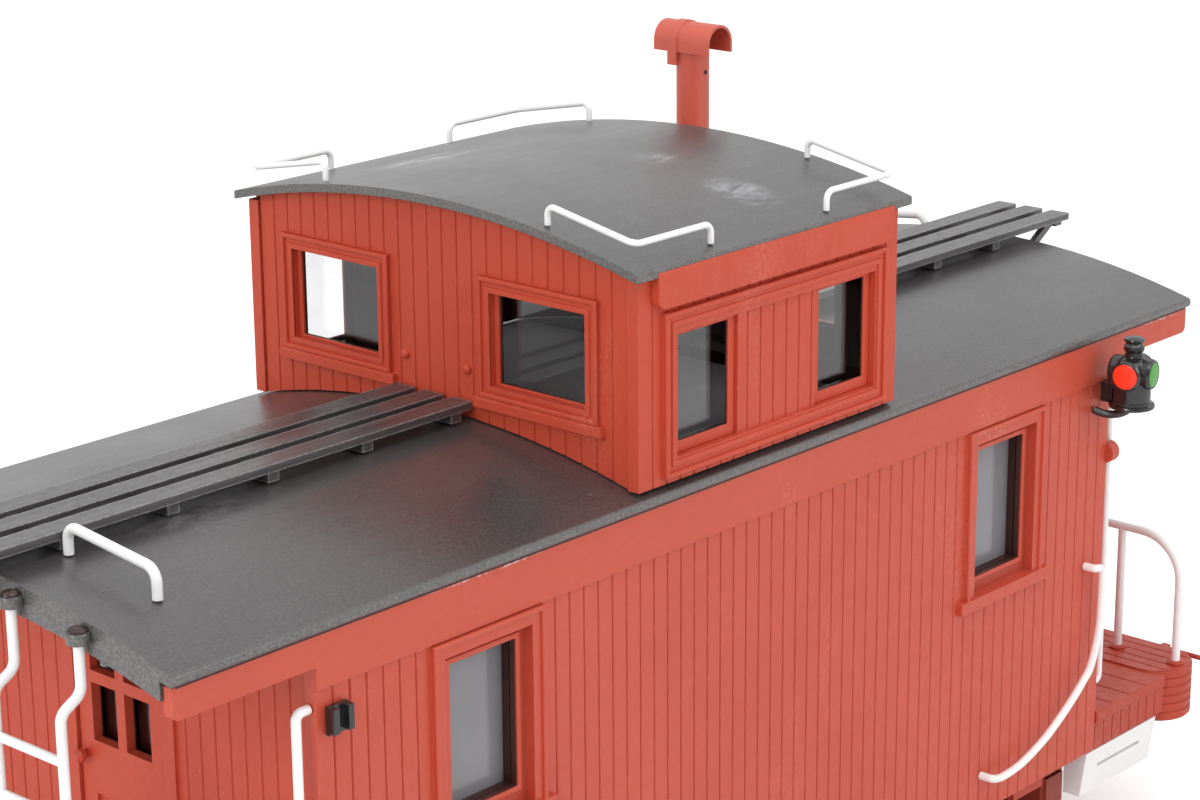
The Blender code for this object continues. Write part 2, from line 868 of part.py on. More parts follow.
def headed_pin(x, diameter, head_diameter, low, head_top, high):
    """Upright pin with a wider head at its foot."""
    head = head_diameter / 2
    stem = diameter / 2
    return turned(((0, low), (head, low), (head, head_top), (stem, head_top), (stem, high), (0, high)), 12,
                  (x, 0, 0))


def truss_rods(name, side):
    """Rod from bolster to bolster, stretched under two queen posts, with a turnbuckle."""
    y = side * (inner_half_width - seat_gap - queen_post_width)
    anchor_z = bolster_bottom_z - seat_gap - truss_rod_diameter / 2
    low_z = bolster_bottom_z - truss_rod_drop
    half_span = needle_beam_spacing / 2
    end_x = truck_x + bolster_width / 2
    bend_x = truck_x - bolster_width / 2
    path = [(-end_x, y, anchor_z), (-bend_x, y, anchor_z), (-half_span, y, low_z), (half_span, y, low_z),
            (bend_x, y, anchor_z), (end_x, y, anchor_z)]
    parts = [rod(path, truss_rod_diameter)]
    for sign in (-1, 1):
        x = sign * half_span
        parts.append(box(x - queen_post_width / 2, x + queen_post_width / 2, y - queen_post_width / 2,
                         y + queen_post_width / 2, low_z, bolster_bottom_z - seat_gap))
    parts.append(cylinder(truss_rod_diameter, -queen_post_width * 1.5, queen_post_width * 1.5,
                          (0, y, low_z), "X", 8))
    place(name, joined(parts), black)


def underframe():
    """Floor, centre sills, body bolsters with their king pins, needle beams and the brake cylinder."""
    reach = inner_half_width - seat_gap
    floor_low = deck_z - floor_thickness
    parts = [box(-half_body, half_body, -reach, reach, floor_low, deck_z)]
    for side in (-1, 1):
        outer = side * centre_sill_width / 2
        parts.append(box(-half_body, half_body, outer, outer - side * centre_sill_wall,
                         floor_low - centre_sill_depth, floor_low + sink))
    for sign in (-1, 1):
        parts += body_bolster(sign)
        x = sign * needle_beam_spacing / 2
        parts.append(box(x - needle_beam_width / 2, x + needle_beam_width / 2, -reach, reach,
                         bolster_bottom_z, floor_low + sink))
    cylinder_z = floor_low - brake_cylinder_diameter / 2 + sink
    parts.append(cylinder(brake_cylinder_diameter / 2, -brake_cylinder_length / 2, brake_cylinder_length / 2,
                          (0, centre_sill_width, cylinder_z), "X", 18))
    place("underframe", joined(parts), red)


# Body sides
def side_openings(side):
    """Window openings of a body side, each a pocket that leaves a sash set back round the pane."""
    outer = side * (half_width + trim_thickness + overrun)
    inner = side * (half_width - wall_thickness - overrun)
    sash_face = side * (half_width - sash_recess)
    half = side_window_width / 2
    top = eave_z - side_window_drop
    bottom = top - side_window_height
    tools = []
    for sign in (-1, 1):
        x = sign * side_window_x
        tools.append(box(x - half, x + half, outer, sash_face, bottom, top))
        tools.append(box(x - half + sash_stile, x + half - sash_stile, outer, inner,
                         bottom + sash_bottom_rail, top - sash_top_rail))
    return tools


def body_side(name, side):
    """Boarded panel with letterboard, fascia under the overhangs, window trim and sills."""
    face = side * half_width
    board_top = eave_z - roof_thickness - letterboard_height + sink
    parts = [prism(boarded_wall(-half_body, half_body, face, -side, wall_thickness), 2, sill_z, board_top)]
    letter_face = face + side * letterboard_thickness
    parts.append(box(-half_body, half_body, letter_face, face - side * wall_thickness, board_top - sink,
                     wall_top_z))
    parts.append(rounded_strip(half_roof - fascia_end_inset, wall_top_z - fascia_height, wall_top_z,
                               fascia_end_round, letter_face, letter_face - side * fascia_thickness))
    for sign in (-1, 1):
        x = sign * side_window_x
        top = eave_z - side_window_drop
        bottom = top - side_window_height
        half = side_window_width / 2
        trim_face = face + side * trim_thickness
        parts.append(box(x - half - trim_width, x + half + trim_width, trim_face, face - side * sink * 2,
                         bottom - sink, top + trim_width))
        sill_face = face + side * window_sill_thickness
        reach = half + trim_width + window_sill_extra
        parts.append(box(x - reach, x + reach, sill_face, face - side * sink * 2,
                         bottom - window_sill_height, bottom))
    body = joined(parts)
    place(name, carved(body, side_openings(side)), red)


def side_glass(name, side):
    """Clear strip behind both windows of a side."""
    outer = side * (inner_half_width - seat_gap)
    reach = side_window_x + side_window_width / 2 + glass_lap
    top = eave_z - side_window_drop - sash_top_rail + glass_lap
    low = eave_z - side_window_drop - side_window_height + sash_bottom_rail - glass_lap
    place(name, box(-reach, reach, outer, outer - side * glass_thickness, low, top), clear)


# Body ends and doors
def door_bottom_z():
    return deck_z + door_threshold


def door_top_z():
    return eave_z - door_top_drop


def body_end(name, sign):
    """Boarded end wall between the sides, with the doorway and its casing."""
    face = sign * (half_body - door_recess)
    reach = inner_half_width - seat_gap
    bottom = deck_z + seat_gap
    outline = [(y, x) for y, x in grooved_edge(-reach, reach, face, -sign)]
    plan = [(x, y) for y, x in outline]
    plan += [(face - sign * wall_thickness, reach), (face - sign * wall_thickness, -reach)]
    lower = prism(plan, 2, bottom, wall_top_z - fascia_height)
    crown = [(-reach, wall_top_z - fascia_height - sink)]
    crown += [(y, z - seat_gap) for y, z in arc_points(main_roof_top, roof_half_width, roof_thickness, reach)]
    crown += [(reach, wall_top_z - fascia_height - sink)]
    crown_part = prism(crown, 0, face, face - sign * wall_thickness)
    opening = door_width / 2 + running_gap
    casing = box(face + sign * trim_thickness, face - sign * sink * 2, -opening - door_casing_width,
                 opening + door_casing_width, bottom, door_top_z() + door_casing_width)
    body = joined([lower, crown_part, casing])
    doorway = box(face + sign * overrun, face - sign * (wall_thickness + overrun), -opening, opening,
                  bottom - overrun, door_top_z() + running_gap)
    place(name, carved(body, [doorway]), red)


def door(name, glass_name, sign):
    """Panelled door with four lights; it swings inward about its inner edge."""
    outer = sign * (half_body - door_recess)
    inner = outer - sign * door_thickness
    half = door_width / 2
    low = door_bottom_z()
    high = door_top_z()
    hinge_y = sign * half
    slab = box(inner, outer, -half, half, low, high)
    cuts = []
    light_top = high - door_light_drop
    light_width = half - stile_width - muntin_width / 2
    for row in range(2):
        top = light_top - row * (door_light_height + muntin_width)
        for column in (-1, 1):
            near = column * muntin_width / 2
            far = column * (muntin_width / 2 + light_width)
            cuts.append(box(inner - sign * overrun, outer + sign * overrun, near, far,
                            top - door_light_height, top))
    panel_top = light_top - 2 * door_light_height - muntin_width - door_panel_gap
    cuts.append(box(outer - sign * panel_depth, outer + sign * overrun, -half + stile_width,
                    half - stile_width, low + stile_width, panel_top))
    knob_z = low + (high - low) * knob_height_share
    knob_y = -hinge_y + sign * stile_width * 0.45
    neck = knob_diameter / 2
    knob = turned(((0, -neck), (neck * 0.6, -neck), (neck * 0.6, neck * 0.6), (neck, neck),
                   (neck, neck * 1.7), (neck * 0.5, neck * 2.2), (0, neck * 2.2)), 12)
    knob.transform(Matrix.Rotation(sign * math.pi / 2, 4, "Y"))
    knob.transform(Matrix.Translation((outer, knob_y, knob_z)))
    body = joined([carved(slab, cuts), knob])
    origin = (inner, hinge_y, low)
    leaf = place(name, body, red, origin)
    glass_low = panel_top + door_panel_gap / 2
    pane = box(inner - sign * (seat_gap + glass_thickness), inner - sign * seat_gap,
               -half + stile_width * 0.4, half - stile_width * 0.4, glass_low, high - door_light_drop / 2)
    glass = place(glass_name, pane, clear, origin)
    glass.parent = leaf
    glass.location = (0, 0, 0)


# Main roof
def main_roof():
    """Arched sheet with a deeper rim at each end, ladder bosses and the opening under the cupola."""
    parts = [arc_slab(main_roof_top, roof_half_width, roof_thickness, -half_roof, half_roof)]
    rim_reach = half_width + letterboard_thickness - fascia_thickness - seat_gap
    upper = arc_points(main_roof_top, roof_half_width, sink, rim_reach)
    lower = arc_points(main_roof_top, roof_half_width, roof_rim_depth, rim_reach)
    for name, sign in ends:
        edge = sign * half_roof
        parts.append(prism(upper + lower[::-1], 0, edge, edge - sign * roof_rim_thickness))
        for step in (-1, 1):
            y = sign * (ladder_offset + step * ladder_width / 2)
            top = main_roof_top(y) - boss_drop
            parts.append(cylinder(boss_diameter / 2, top - boss_height, top,
                                  (edge + sign * ladder_standoff, y, 0), "Z", 10))
    body = joined(parts)
    hatch_x = half_cupola - wall_thickness * 2
    hatch_y = inner_half_width - wall_thickness
    place("main_roof", carved(body, [box(-hatch_x, hatch_x, -hatch_y, hatch_y, eave_z - roof_rise,
                                          eave_z + roof_rise * 2)]), black)


# Running boards
def running_board(name, sign):
    """Three planks on cross cleats, with brackets under the overhang."""
    low = eave_z + roof_rise + plank_height - plank_thickness
    high = low + plank_thickness
    start = half_cupola + seat_gap * 2
    finish = half_roof + plank_overhang
    reach = plank_width * 1.5 + plank_gap
    parts = []
    for row in (-1, 0, 1):
        y = row * (plank_width + plank_gap)
        parts.append(box(sign * start, sign * finish, y - plank_width / 2, y + plank_width / 2, low, high))
    cleat_low = eave_z + roof_rise + seat_gap
    count = int((half_roof - start - cleat_inset) / cleat_pitch) + 1
    for i in range(count):
        x = sign * (start + cleat_inset + cleat_pitch * i)
        parts.append(box(x - cleat_width / 2, x + cleat_width / 2, -reach + sink, reach - sink, cleat_low,
                         low + sink))
    end_x = finish - cleat_inset
    parts.append(box(sign * (end_x - cleat_width / 2), sign * (end_x + cleat_width / 2), -reach + sink,
                     reach - sink, cleat_low + (low - cleat_low) / 2, low + sink))
    foot_x = half_roof + seat_gap + board_bracket_width / 2
    for row in (-1, 1):
        y = row * (plank_width + plank_gap)
        foot_z = eave_z + roof_rise - board_bracket_drop / 2
        path = [(sign * end_x, y, low + sink), (sign * foot_x, y, foot_z)]
        parts.append(flat_bar_between(path, board_bracket_width))
    body = joined(parts)
    place(name, body, black)


def flat_bar_between(path, width):
    """A straight square bar between two points in an XZ plane."""
    (x0, y, z0), (x1, _, z1) = path
    along = Vector((x1 - x0, 0, z1 - z0)).normalized()
    normal = Vector((-along.z, 0, along.x)) * width / 2
    outline = [(x0 + normal.x, z0 + normal.z), (x1 + normal.x, z1 + normal.z),
               (x1 - normal.x, z1 - normal.z), (x0 - normal.x, z0 - normal.z)]
    return prism(outline, 1, y - width / 2, y + width / 2)


# Cupola
def cupola_wall_top(y):
    return cupola_roof_top(y) - cupola_roof_thickness - seat_gap


def cupola_wall_low(y):
    return main_roof_top(y) + seat_gap


def cupola_side(name, side):
    """Boarded side with two windows in one trim frame and a cornice under the roof."""
    face = side * half_width
    low = cupola_wall_low(inner_half_width)
    top = cupola_wall_top(half_width + cornice_thickness)
    parts = [prism(boarded_wall(-half_cupola, half_cupola, face, -side, wall_thickness), 2, low, top)]
    parts.append(rounded_strip(half_cupola - cornice_inset, top - cornice_height, top, cornice_round,
                               face - side * sink, face + side * cornice_thickness))
    shift = -side * cupola_side_window_shift
    half = cupola_side_window_spacing / 2 + cupola_side_window_width / 2
    bottom = eave_z + cupola_side_window_rise
    upper = bottom + cupola_side_window_height
    trim_face = face + side * trim_thickness
    ring, hole = frame_solid(1, shift - half, shift + half, bottom, upper, cupola_trim_width,
                             min(trim_face, face - side * sink * 2), max(trim_face, face - side * sink * 2))
    parts.append(carved(ring, [hole]))
    body = joined(parts)
    cuts = []
    for sign in (-1, 1):
        x = shift + sign * cupola_side_window_spacing / 2
        cuts.append(box(x - cupola_side_window_width / 2, x + cupola_side_window_width / 2,
                        face + side * overrun, face - side * (wall_thickness + overrun), bottom, upper))
    place(name, carved(body, cuts), red)


def cupola_end(name, sign):
    """Boarded end between the cupola sides, its foot cut to the roof's curve."""
    face = sign * (half_cupola - door_recess)
    back = face - sign * wall_thickness
    reach = inner_half_width - seat_gap
    count = roof_segments
    steps = [reach * (2 * i / count - 1) for i in range(count + 1)]
    low_edge = [(y, cupola_wall_low(y)) for y in steps]
    high_edge = [(y, cupola_wall_top(y)) for y in steps]
    slab = prism(low_edge + high_edge[::-1], 0, face, back)
    grooves = []
    boards = round(2 * reach / board_pitch)
    half = groove_width / 2
    for i in range(1, boards):
        y = reach * (2 * i / boards - 1)
        outline = [(face + sign * sink, y - half), (face + sign * sink, y + half), (face, y + half),
                   (face - sign * groove_depth, y), (face, y - half)]
        grooves.append(prism(outline, 2, eave_z - roof_rise, cupola_eave_z + roof_rise * 2))
    slab = carved(slab, grooves)
    parts = [slab]
    bottom = eave_z + cupola_end_window_rise
    upper = bottom + cupola_end_window_height
    cuts = []
    for side in (-1, 1):
        near = side * cupola_end_window_inset
        far = side * (half_width - cupola_end_window_corner)
        a0, a1 = min(near, far), max(near, far)
        trim_face = face + sign * trim_thickness
        foot = bottom - cupola_sill_drop
        parts.append(box(trim_face, face - sign * sink * 2, a0 - trim_width, a1 + trim_width, foot,
                         upper + trim_width))
        parts.append(box(face + sign * window_sill_thickness, face - sign * sink * 2,
                         a0 - trim_width - window_sill_extra / 2, a1 + trim_width + window_sill_extra / 2,
                         foot - sink, foot + cupola_sill_height))
        cuts.append(box(face + sign * overrun, back - sign * overrun, a0, a1, bottom, upper))
        parts.append(latch(face, sign, side))
    body = joined(parts)
    place(name, carved(body, cuts), red)


def latch(face, sign, side):
    """Small round catch on the cupola end beside a window."""
    radius = latch_diameter / 2
    knob = turned(((0, -radius), (radius, -radius), (radius, radius * 0.6), (radius * 0.5, radius),
                   (0, radius)), 10)
    knob.transform(Matrix.Rotation(sign * math.pi / 2, 4, "Y"))
    knob.transform(Matrix.Translation((face, side * latch_offset, eave_z + latch_height)))
    return knob


def cupola_roof():
    half = cupola_roof_half_length
    slab = arc_slab(cupola_roof_top, cupola_roof_half_width, cupola_roof_thickness, -half, half)
    place("cupola_roof", slab, black)


def cupola_glazing():
    """One clear moulding that lines all four cupola walls."""
    outer_x = half_cupola - door_recess - wall_thickness - glazing_gap
    outer_y = inner_half_width - glazing_gap
    low = cupola_wall_low(0) + seat_gap
    high = cupola_wall_top(half_width) - seat_gap * 2
    ring = box(-outer_x, outer_x, -outer_y, outer_y, low, high)
    hole = box(-outer_x + glass_thickness, outer_x - glass_thickness, -outer_y + glass_thickness,
               outer_y - glass_thickness, low - overrun, high + overrun)
    place("cupola_glazing", carved(ring, [hole]), clear)


# Smoke pipe
def smoke_pipe():
    """Pipe with a roof collar and a half-round hood, open below and held by a strap."""
    radius = pipe_diameter / 2
    top = eave_z + roof_rise + pipe_height
    low = main_roof_top(pipe_y - pipe_collar_diameter / 2) + seat_gap
    collar = pipe_collar_diameter / 2
    pipe = turned(((0, low), (collar, low), (collar, low + pipe_collar_height / 2),
                   (radius, low + pipe_collar_height), (radius, top), (0, top)), 20, (pipe_x, pipe_y, 0))
    centre_z = top + cap_rise
    outer = cap_width / 2
    cap = prism(hood_outline(outer, outer - cap_wall, centre_z, cap_skirt), 1, pipe_y - cap_length / 2,
                pipe_y + cap_length / 2)
    strap_y = pipe_y + cap_strap_shift
    strap_outline = hood_outline(outer + cap_strap_proud, outer - cap_wall / 2, centre_z,
                                 cap_skirt + cap_strap_drop)
    strap = prism(strap_outline, 1, strap_y - cap_strap_width / 2, strap_y + cap_strap_width / 2)
    web = box(pipe_x - outer + sink, pipe_x + outer - sink, strap_y - cap_strap_width / 2,
              strap_y + cap_strap_width / 2, top - cap_skirt, top - sink)
    place("smoke_pipe", joined([pipe, cap, strap, web]), red)


def hood_outline(outer, inner, centre_z, skirt):
    """Half ring with straight skirts, in the XZ plane over the pipe."""
    turns = [math.pi * i / 10 for i in range(11)]
    points = [(outer, -skirt)] + [(outer * math.cos(t), outer * math.sin(t)) for t in turns]
    points += [(-outer, -skirt), (-inner, -skirt)]
    points += [(inner * math.cos(t), inner * math.sin(t)) for t in turns[::-1]] + [(inner, -skirt)]
    return [(pipe_x + x, centre_z + z) for x, z in points]


# Ladders and end railings
def railing_x():
    return beam_inner_x + end_beam_depth * railing_share


def ladder(name, sign):
    """Two stiles that hang from the roof rim, jog outward and stand on the end beam, with a rail."""
    top_x = sign * (half_roof + ladder_standoff)
    low_x = sign * railing_x()
    foot_z = beam_top_z + seat_gap
    parts = []
    jog_z = eave_z - ladder_jog_drop
    for step in (-1, 1):
        y = sign * (ladder_offset + step * ladder_width / 2)
        top_z = main_roof_top(y) - boss_drop - boss_height - seat_gap
        path = [(top_x, y, top_z), (top_x, y, jog_z + ladder_jog_rise), (low_x, y, jog_z), (low_x, y, foot_z)]
        parts.append(rod(rounded(path, bend_radius), ladder_rod))
    first = eave_z - first_rung_drop
    count = int((first - foot_z - rung_pitch / 2) / rung_pitch) + 1
    inner = sign * (ladder_offset - ladder_width / 2)
    outer = sign * (ladder_offset + ladder_width / 2)
    for i in range(count):
        z = first - rung_pitch * i
        parts.append(rod([(low_x, inner, z), (low_x, outer, z)], ladder_rod * 0.9))
    rail_z_top = beam_top_z + railing_height
    corner_y = sign * (half_width - railing_corner_inset)
    path = [(low_x, outer, rail_z_top), (low_x, corner_y, rail_z_top), (low_x, corner_y, foot_z)]
    parts.append(rod(rounded(path, railing_bend, 7), railing_rod))
    place(name, joined(parts), white)


def railing(name, sign):
    """End rail with corner, middle and gate posts."""
    x = sign * railing_x()
    foot_z = beam_top_z + seat_gap
    top_z = beam_top_z + railing_height
    corner = -sign * (half_width - railing_corner_inset)
    middle = -sign * (half_width - railing_corner_inset - railing_post_pitch)
    gate = -sign * gate_half_width
    path = [(x, corner, foot_z), (x, corner, top_z), (x, gate, top_z), (x, gate, foot_z)]
    parts = [rod(rounded(path, railing_bend, 7), railing_rod)]
    parts.append(rod([(x, middle, foot_z), (x, middle, top_z)], railing_rod))
    place(name, joined(parts), white)


# Roof, cupola, side and end grabs
def roof_grab(name, sign):
    x = sign * (half_roof - roof_grab_inset)
    near = sign * roof_grab_near
    far = sign * roof_grab_far
    near_z = main_roof_top(near) + seat_gap
    far_z = main_roof_top(far) + seat_gap
    path = [(x, near, near_z), (x, near, near_z + roof_grab_height), (x, far, far_z + roof_grab_height),
            (x, far, far_z)]
    place(name, rod(rounded(path, bend_radius), roof_grab_rod), white)


def cupola_grab(name, sign, side):
    """L-shaped grab at a corner of the cupola roof."""
    corner_x = sign * (cupola_roof_half_length - cupola_grab_inset)
    corner_y = side * (cupola_roof_half_width - cupola_grab_inset)
    inner_x = corner_x - sign * cupola_grab_length
    inner_y = corner_y - side * cupola_grab_length
    first = (inner_x, corner_y, cupola_roof_top(corner_y) + seat_gap)
    last = (corner_x, inner_y, cupola_roof_top(inner_y) + seat_gap)
    rise = Vector((0, 0, cupola_grab_height))
    middle = Vector((corner_x, corner_y, cupola_roof_top(corner_y) + seat_gap)) + rise
    path = [Vector(first), Vector(first) + rise, middle, Vector(last) + rise, Vector(last)]
    place(name, rod(rounded(path, bend_radius * 0.7, 3), cupola_grab_rod), white)


def side_grab(name, sign, side):
    """Curved grab that falls from the corner and sweeps back along the side sill."""
    face = side * (half_width + deck_edge_proud + seat_gap)
    y = side * (half_width + side_grab_standoff)
    far_x = half_body - side_grab_inset
    top_z = sill_z + side_grab_foot + side_grab_drop
    path = []
    for back, down in side_grab_points_share:
        path.append(Vector((sign * (far_x - side_grab_run * back), y, top_z - side_grab_drop * down)))
    path.insert(0, Vector((path[0].x, face, path[0].z)))
    path.append(Vector((path[-1].x, face, path[-1].z)))
    place(name, rod(path, side_grab_rod), white)


def end_grab(name, sign, side):
    """Upright grab on the end wall beside the corner."""
    face = sign * (half_body + seat_gap)
    x = sign * (half_body + end_grab_standoff)
    y = side * (half_width - end_grab_inset)
    high = eave_z - end_grab_top
    low = deck_z + end_grab_foot
    path = [(face, y, high), (x, y, high), (x, y, low), (face, y, low)]
    place(name, rod(rounded(path, bend_radius * 0.6, 3), side_grab_rod), white)


# Marker lamps and brackets
def lamp_place(side):
    """Centre of a lamp's lenses."""
    return Vector((half_body - lamp_corner_inset, side * (half_width + lamp_standoff), eave_z - lamp_drop))


def lens_directions(side):
    """A lamp shows a lens forward, outward and to the rear."""
    return Vector((-1, 0, 0)), Vector((0, side, 0)), Vector((1, 0, 0))


def marker_lamp(name, side):
    """Round lamp with lens rims and a chimney, on an arm from its socket."""
    centre = lamp_place(side)
    radius = lamp_diameter / 2
    profile = [(radius * out, lamp_half_height * up) for out, up in lamp_profile_shares]
    parts = [turned(profile, 12, centre)]
    for direction in lens_directions(side):
        size = lens_diameter / 2
        rim = size + lens_bezel
        disc = turned(((0, 0), (rim, 0), (rim, lens_reach - lens_bezel), (size, lens_reach),
                       (0, lens_reach + lens_proud)), 12)
        disc.transform(direction.to_track_quat("Z", "Y").to_matrix().to_4x4())
        disc.transform(Matrix.Translation(centre))
        parts.append(disc)
    parts += socket(centre.x, side)
    low = centre.z + profile[0][1]
    arm_low = low - lamp_arm_height
    face = side * (half_width + seat_gap)
    bracket_low = eave_z - bracket_drop - bracket_height / 2
    half = lamp_arm_width / 2
    parts.append(box(centre.x - half, centre.x + half, face, centre.y, arm_low, low + sink))
    parts.append(box(centre.x - half, centre.x + half, face, face + side * bracket_depth, arm_low,
                     bracket_low + sink))
    place(name, joined(parts), black)


def socket(x, side):
    """Ribbed socket block against the side, a plate with two upright ribs."""
    face = side * (half_width + seat_gap)
    z = eave_z - bracket_drop
    half = bracket_width / 2
    low = z - bracket_height / 2
    high = z + bracket_height / 2
    parts = [box(x - half, x + half, face, face + side * bracket_plate, low, high)]
    for sign in (-1, 1):
        parts.append(box(x + sign * half, x + sign * (half - bracket_rib), face + side * bracket_plate / 2,
                         face + side * bracket_depth, low + sink, high - sink / 2))
    return parts


def marker_bracket(name, side):
    """Empty lamp socket on the front corner."""
    place(name, joined(socket(-half_body + lamp_corner_inset, side)), black)


# Steps
def step(name, sign, side):
    """Box step under a platform corner: slotted riser that leans in, tread and two ends."""
    finish = beam_inner_x - step_start
    start = finish - step_length
    centre = (start + finish) / 2
    top = sill_z - seat_gap
    low = top - step_height
    back = half_width - step_depth
    outline = [(back, top), (half_width, top), (half_width - step_lean, low), (back, low)]
    block = prism(outline, 0, start, finish)
    well = box(start + step_sheet, finish - step_sheet, back - overrun, half_width - step_lean - step_sheet,
               low + step_sheet, top + overrun)
    slot = box(centre - step_slot_length / 2, centre + step_slot_length / 2, back, half_width + overrun,
               low + step_slot_rise, low + step_slot_rise + step_slot_height)
    body = carved(block, [well, slot])
    place(name, mirrored(body, sign, side), white)


# Couplers
def coupler(name, sign):
    """Knuckle coupler on a shank that swings on the draft pin."""
    pin = coupler_pin_x()
    middle = rail_z + coupler_height
    tip = beam_outer_x + seat_gap * 4
    eye = shank_width * 0.62
    head = coupler_head_width / 2
    length = coupler_head_length
    gap = head * knuckle_gap_share * 2
    parts = [box(pin, tip + sink * 2, -shank_width / 2, shank_width / 2, middle - shank_height / 2,
                 middle + shank_height / 2)]
    parts.append(cylinder(eye, middle - shank_height / 2, middle + shank_height / 2, (pin, 0, 0), "Z", 16))
    outline = [(tip, -shank_width / 2), (tip + length * 0.35, -head * 0.9), (tip + length * 0.75, -head),
               (tip + length * 0.95, -head * 0.75), (tip + length * 0.62, -head * 0.45),
               (tip + length * 0.42, -gap), (tip + length * 0.42, gap * 0.4),
               (tip + length * 0.62, gap), (tip + length * 0.9, gap * 0.2),
               (tip + length, gap * 0.9), (tip + length * 0.92, head * 0.85),
               (tip + length * 0.6, head), (tip + length * 0.2, head * 0.75), (tip, shank_width / 2)]
    parts.append(prism(outline, 2, middle - coupler_head_height / 2, middle + coupler_head_height / 2))
    body = joined(parts)
    hole = cylinder(coupler_pin_diameter / 2 + running_gap, middle - shank_height, middle + shank_height,
                    (pin, 0, 0), "Z", 16)
    body = mirrored(carved(body, [hole]), sign)
    place(name, body, black, (sign * pin, 0, middle))


# The whole car
underframe()
main_roof()
cupola_roof()
cupola_glazing()
smoke_pipe()
for end_name, sign in ends:
    truck("truck_" + end_name, sign * truck_x)
    for axle_name, step_sign in (("outer", 1), ("inner", -1)):
        wheelset("wheelset_" + end_name + "_" + axle_name, sign * (truck_x + step_sign * truck_wheelbase / 2))
    platform("platform_" + end_name, sign)
    body_end("body_end_" + end_name, sign)
    door("door_" + end_name, "door_glass_" + end_name, sign)
    running_board("running_board_" + end_name, sign)
    cupola_end("cupola_end_" + end_name, sign)
    ladder("ladder_" + end_name, sign)
    railing("railing_" + end_name, sign)
    roof_grab("roof_grab_" + end_name, sign)
    coupler("coupler_" + end_name, sign)
    for side_name, side in sides:
        where = "_" + end_name + "_" + side_name
        cupola_grab("cupola_grab" + where, sign, side)
        side_grab("side_grab" + where, sign, side)
        end_grab("end_grab" + where, sign, side)
        step("step" + where, sign, side)
for side_name, side in sides:
    body_side("body_side_" + side_name, side)
    side_glass("side_glass_" + side_name, side)
    cupola_side("cupola_side_" + side_name, side)
    marker_lamp("marker_lamp_" + side_name, side)
    truss_rods("truss_rods_" + side_name, side)
    marker_bracket("marker_bracket_" + side_name, side)
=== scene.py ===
# Dressed model of the short caboose: procedural materials, small details, floor, light and camera
import math

import bmesh
import bpy
from mathutils import Matrix, Vector


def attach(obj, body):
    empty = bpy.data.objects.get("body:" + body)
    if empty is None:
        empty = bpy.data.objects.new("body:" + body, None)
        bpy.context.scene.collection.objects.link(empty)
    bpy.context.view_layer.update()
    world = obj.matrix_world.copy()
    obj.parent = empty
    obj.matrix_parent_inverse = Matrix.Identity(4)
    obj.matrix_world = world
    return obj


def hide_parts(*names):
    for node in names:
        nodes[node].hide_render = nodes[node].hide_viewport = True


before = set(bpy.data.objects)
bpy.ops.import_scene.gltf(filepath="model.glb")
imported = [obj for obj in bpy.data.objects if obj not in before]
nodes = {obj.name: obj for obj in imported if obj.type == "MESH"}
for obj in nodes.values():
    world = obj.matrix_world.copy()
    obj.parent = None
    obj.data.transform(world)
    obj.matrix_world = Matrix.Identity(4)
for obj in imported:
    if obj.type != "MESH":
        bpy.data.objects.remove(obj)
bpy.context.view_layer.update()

# Sizes of the car, in metres
half_body = 0.1362
half_width = 0.0588
half_roof = 0.1714
sill_z = 0.0347
eave_z = 0.1500
deck_z = 0.0455
beam_top_z = 0.0460
beam_height = 0.0145
beam_inner_x = 0.1682
beam_depth = 0.0193
beam_overhang = 0.0022
roof_half_width = 0.0598
roof_rise = 0.0080
cupola_eave_z = 0.1988
cupola_roof_half_width = 0.0607
cupola_roof_half_length = 0.0469
cupola_roof_rise = 0.0078
cupola_end_x = 0.0437
seat_gap = 0.0003
hair = 0.00005
wall_thickness = 0.0030
pane_setback = 0.0020
lining_width = 0.0012
pane_lap = hair * 6
pane_thickness = 0.0006
lining_step = 0.0008
roof_thickness = 0.0022
fascia_proud = 0.0006
shadow_strip_height = 0.0006
shadow_strip_inset = 0.0015
drip_radius = 0.0011
drip_share = 0.55
lip_height = 0.0030
lip_proud = 0.0006
lip_span = (half_body + 0.0004, beam_inner_x - 0.0003)
band_pitch = beam_height / 6
band_profile = ((0.00002, 0.0002), (0.0003, 0.0004), (0.0003, band_pitch - 0.0004),
                (0.00002, band_pitch - 0.0002))
lug_z = eave_z - 0.0337
lug_span = (half_body - 0.0002, half_body + 0.0030)
lug_seat = 0.0006
lug_middle = 0.0004
lug_reach = 0.0025
lug_half_height = 0.0027
look_out_deck_box = ((-0.0380, -0.0500, 0.1520), (0.0380, 0.0500, 0.1528))

# Softened edges of the added pieces
wide_bevel = 0.0003
medium_bevel = 0.00025
slim_bevel = 0.0002
fine_bevel = 0.00012
pane_bevel = 0.0001

# Window and door openings, casings and sashes
side_window = (0.0902, 0.0125, 0.0938, 0.1326)
sash_recess = 0.0015
sash_rails = (0.0030, 0.0040, 0.0026)
sill_height = 0.0030
sill_reach = 0.0058
sill_proud = 0.0017
side_trim = 0.0034
side_casing_drop = 0.0014
cupola_end_window = (0.0170, 0.0445, 0.1667, 0.1874)
cupola_end_trim = 0.0034
cupola_end_low_trim = 0.0028
cupola_end_sill = (0.0013, 0.0052, 0.0031)
cupola_end_sash = (0.0013, 0.0005, 0.0002, 0.0006, 0.0014)
cupola_side_window = (0.0342, 0.1568, 0.1837)
cupola_side_opening = 0.0208
cupola_side_shift = 0.0012
cupola_side_trim = 0.0040
cupola_casing_lift = 0.0008
cupola_sash = (0.0022, 0.0026, 0.0012, 0.0008)
cupola_sash_depth = 0.0009
cupola_strip_share = 1.9
cupola_cornice = (0.0402, 0.1899, 0.1979, 0.0022)
cornice_round = 0.0024
casing_proud = 0.0008
bead_width = 0.0011
bead_proud = 0.0007
sash_width = 0.0013
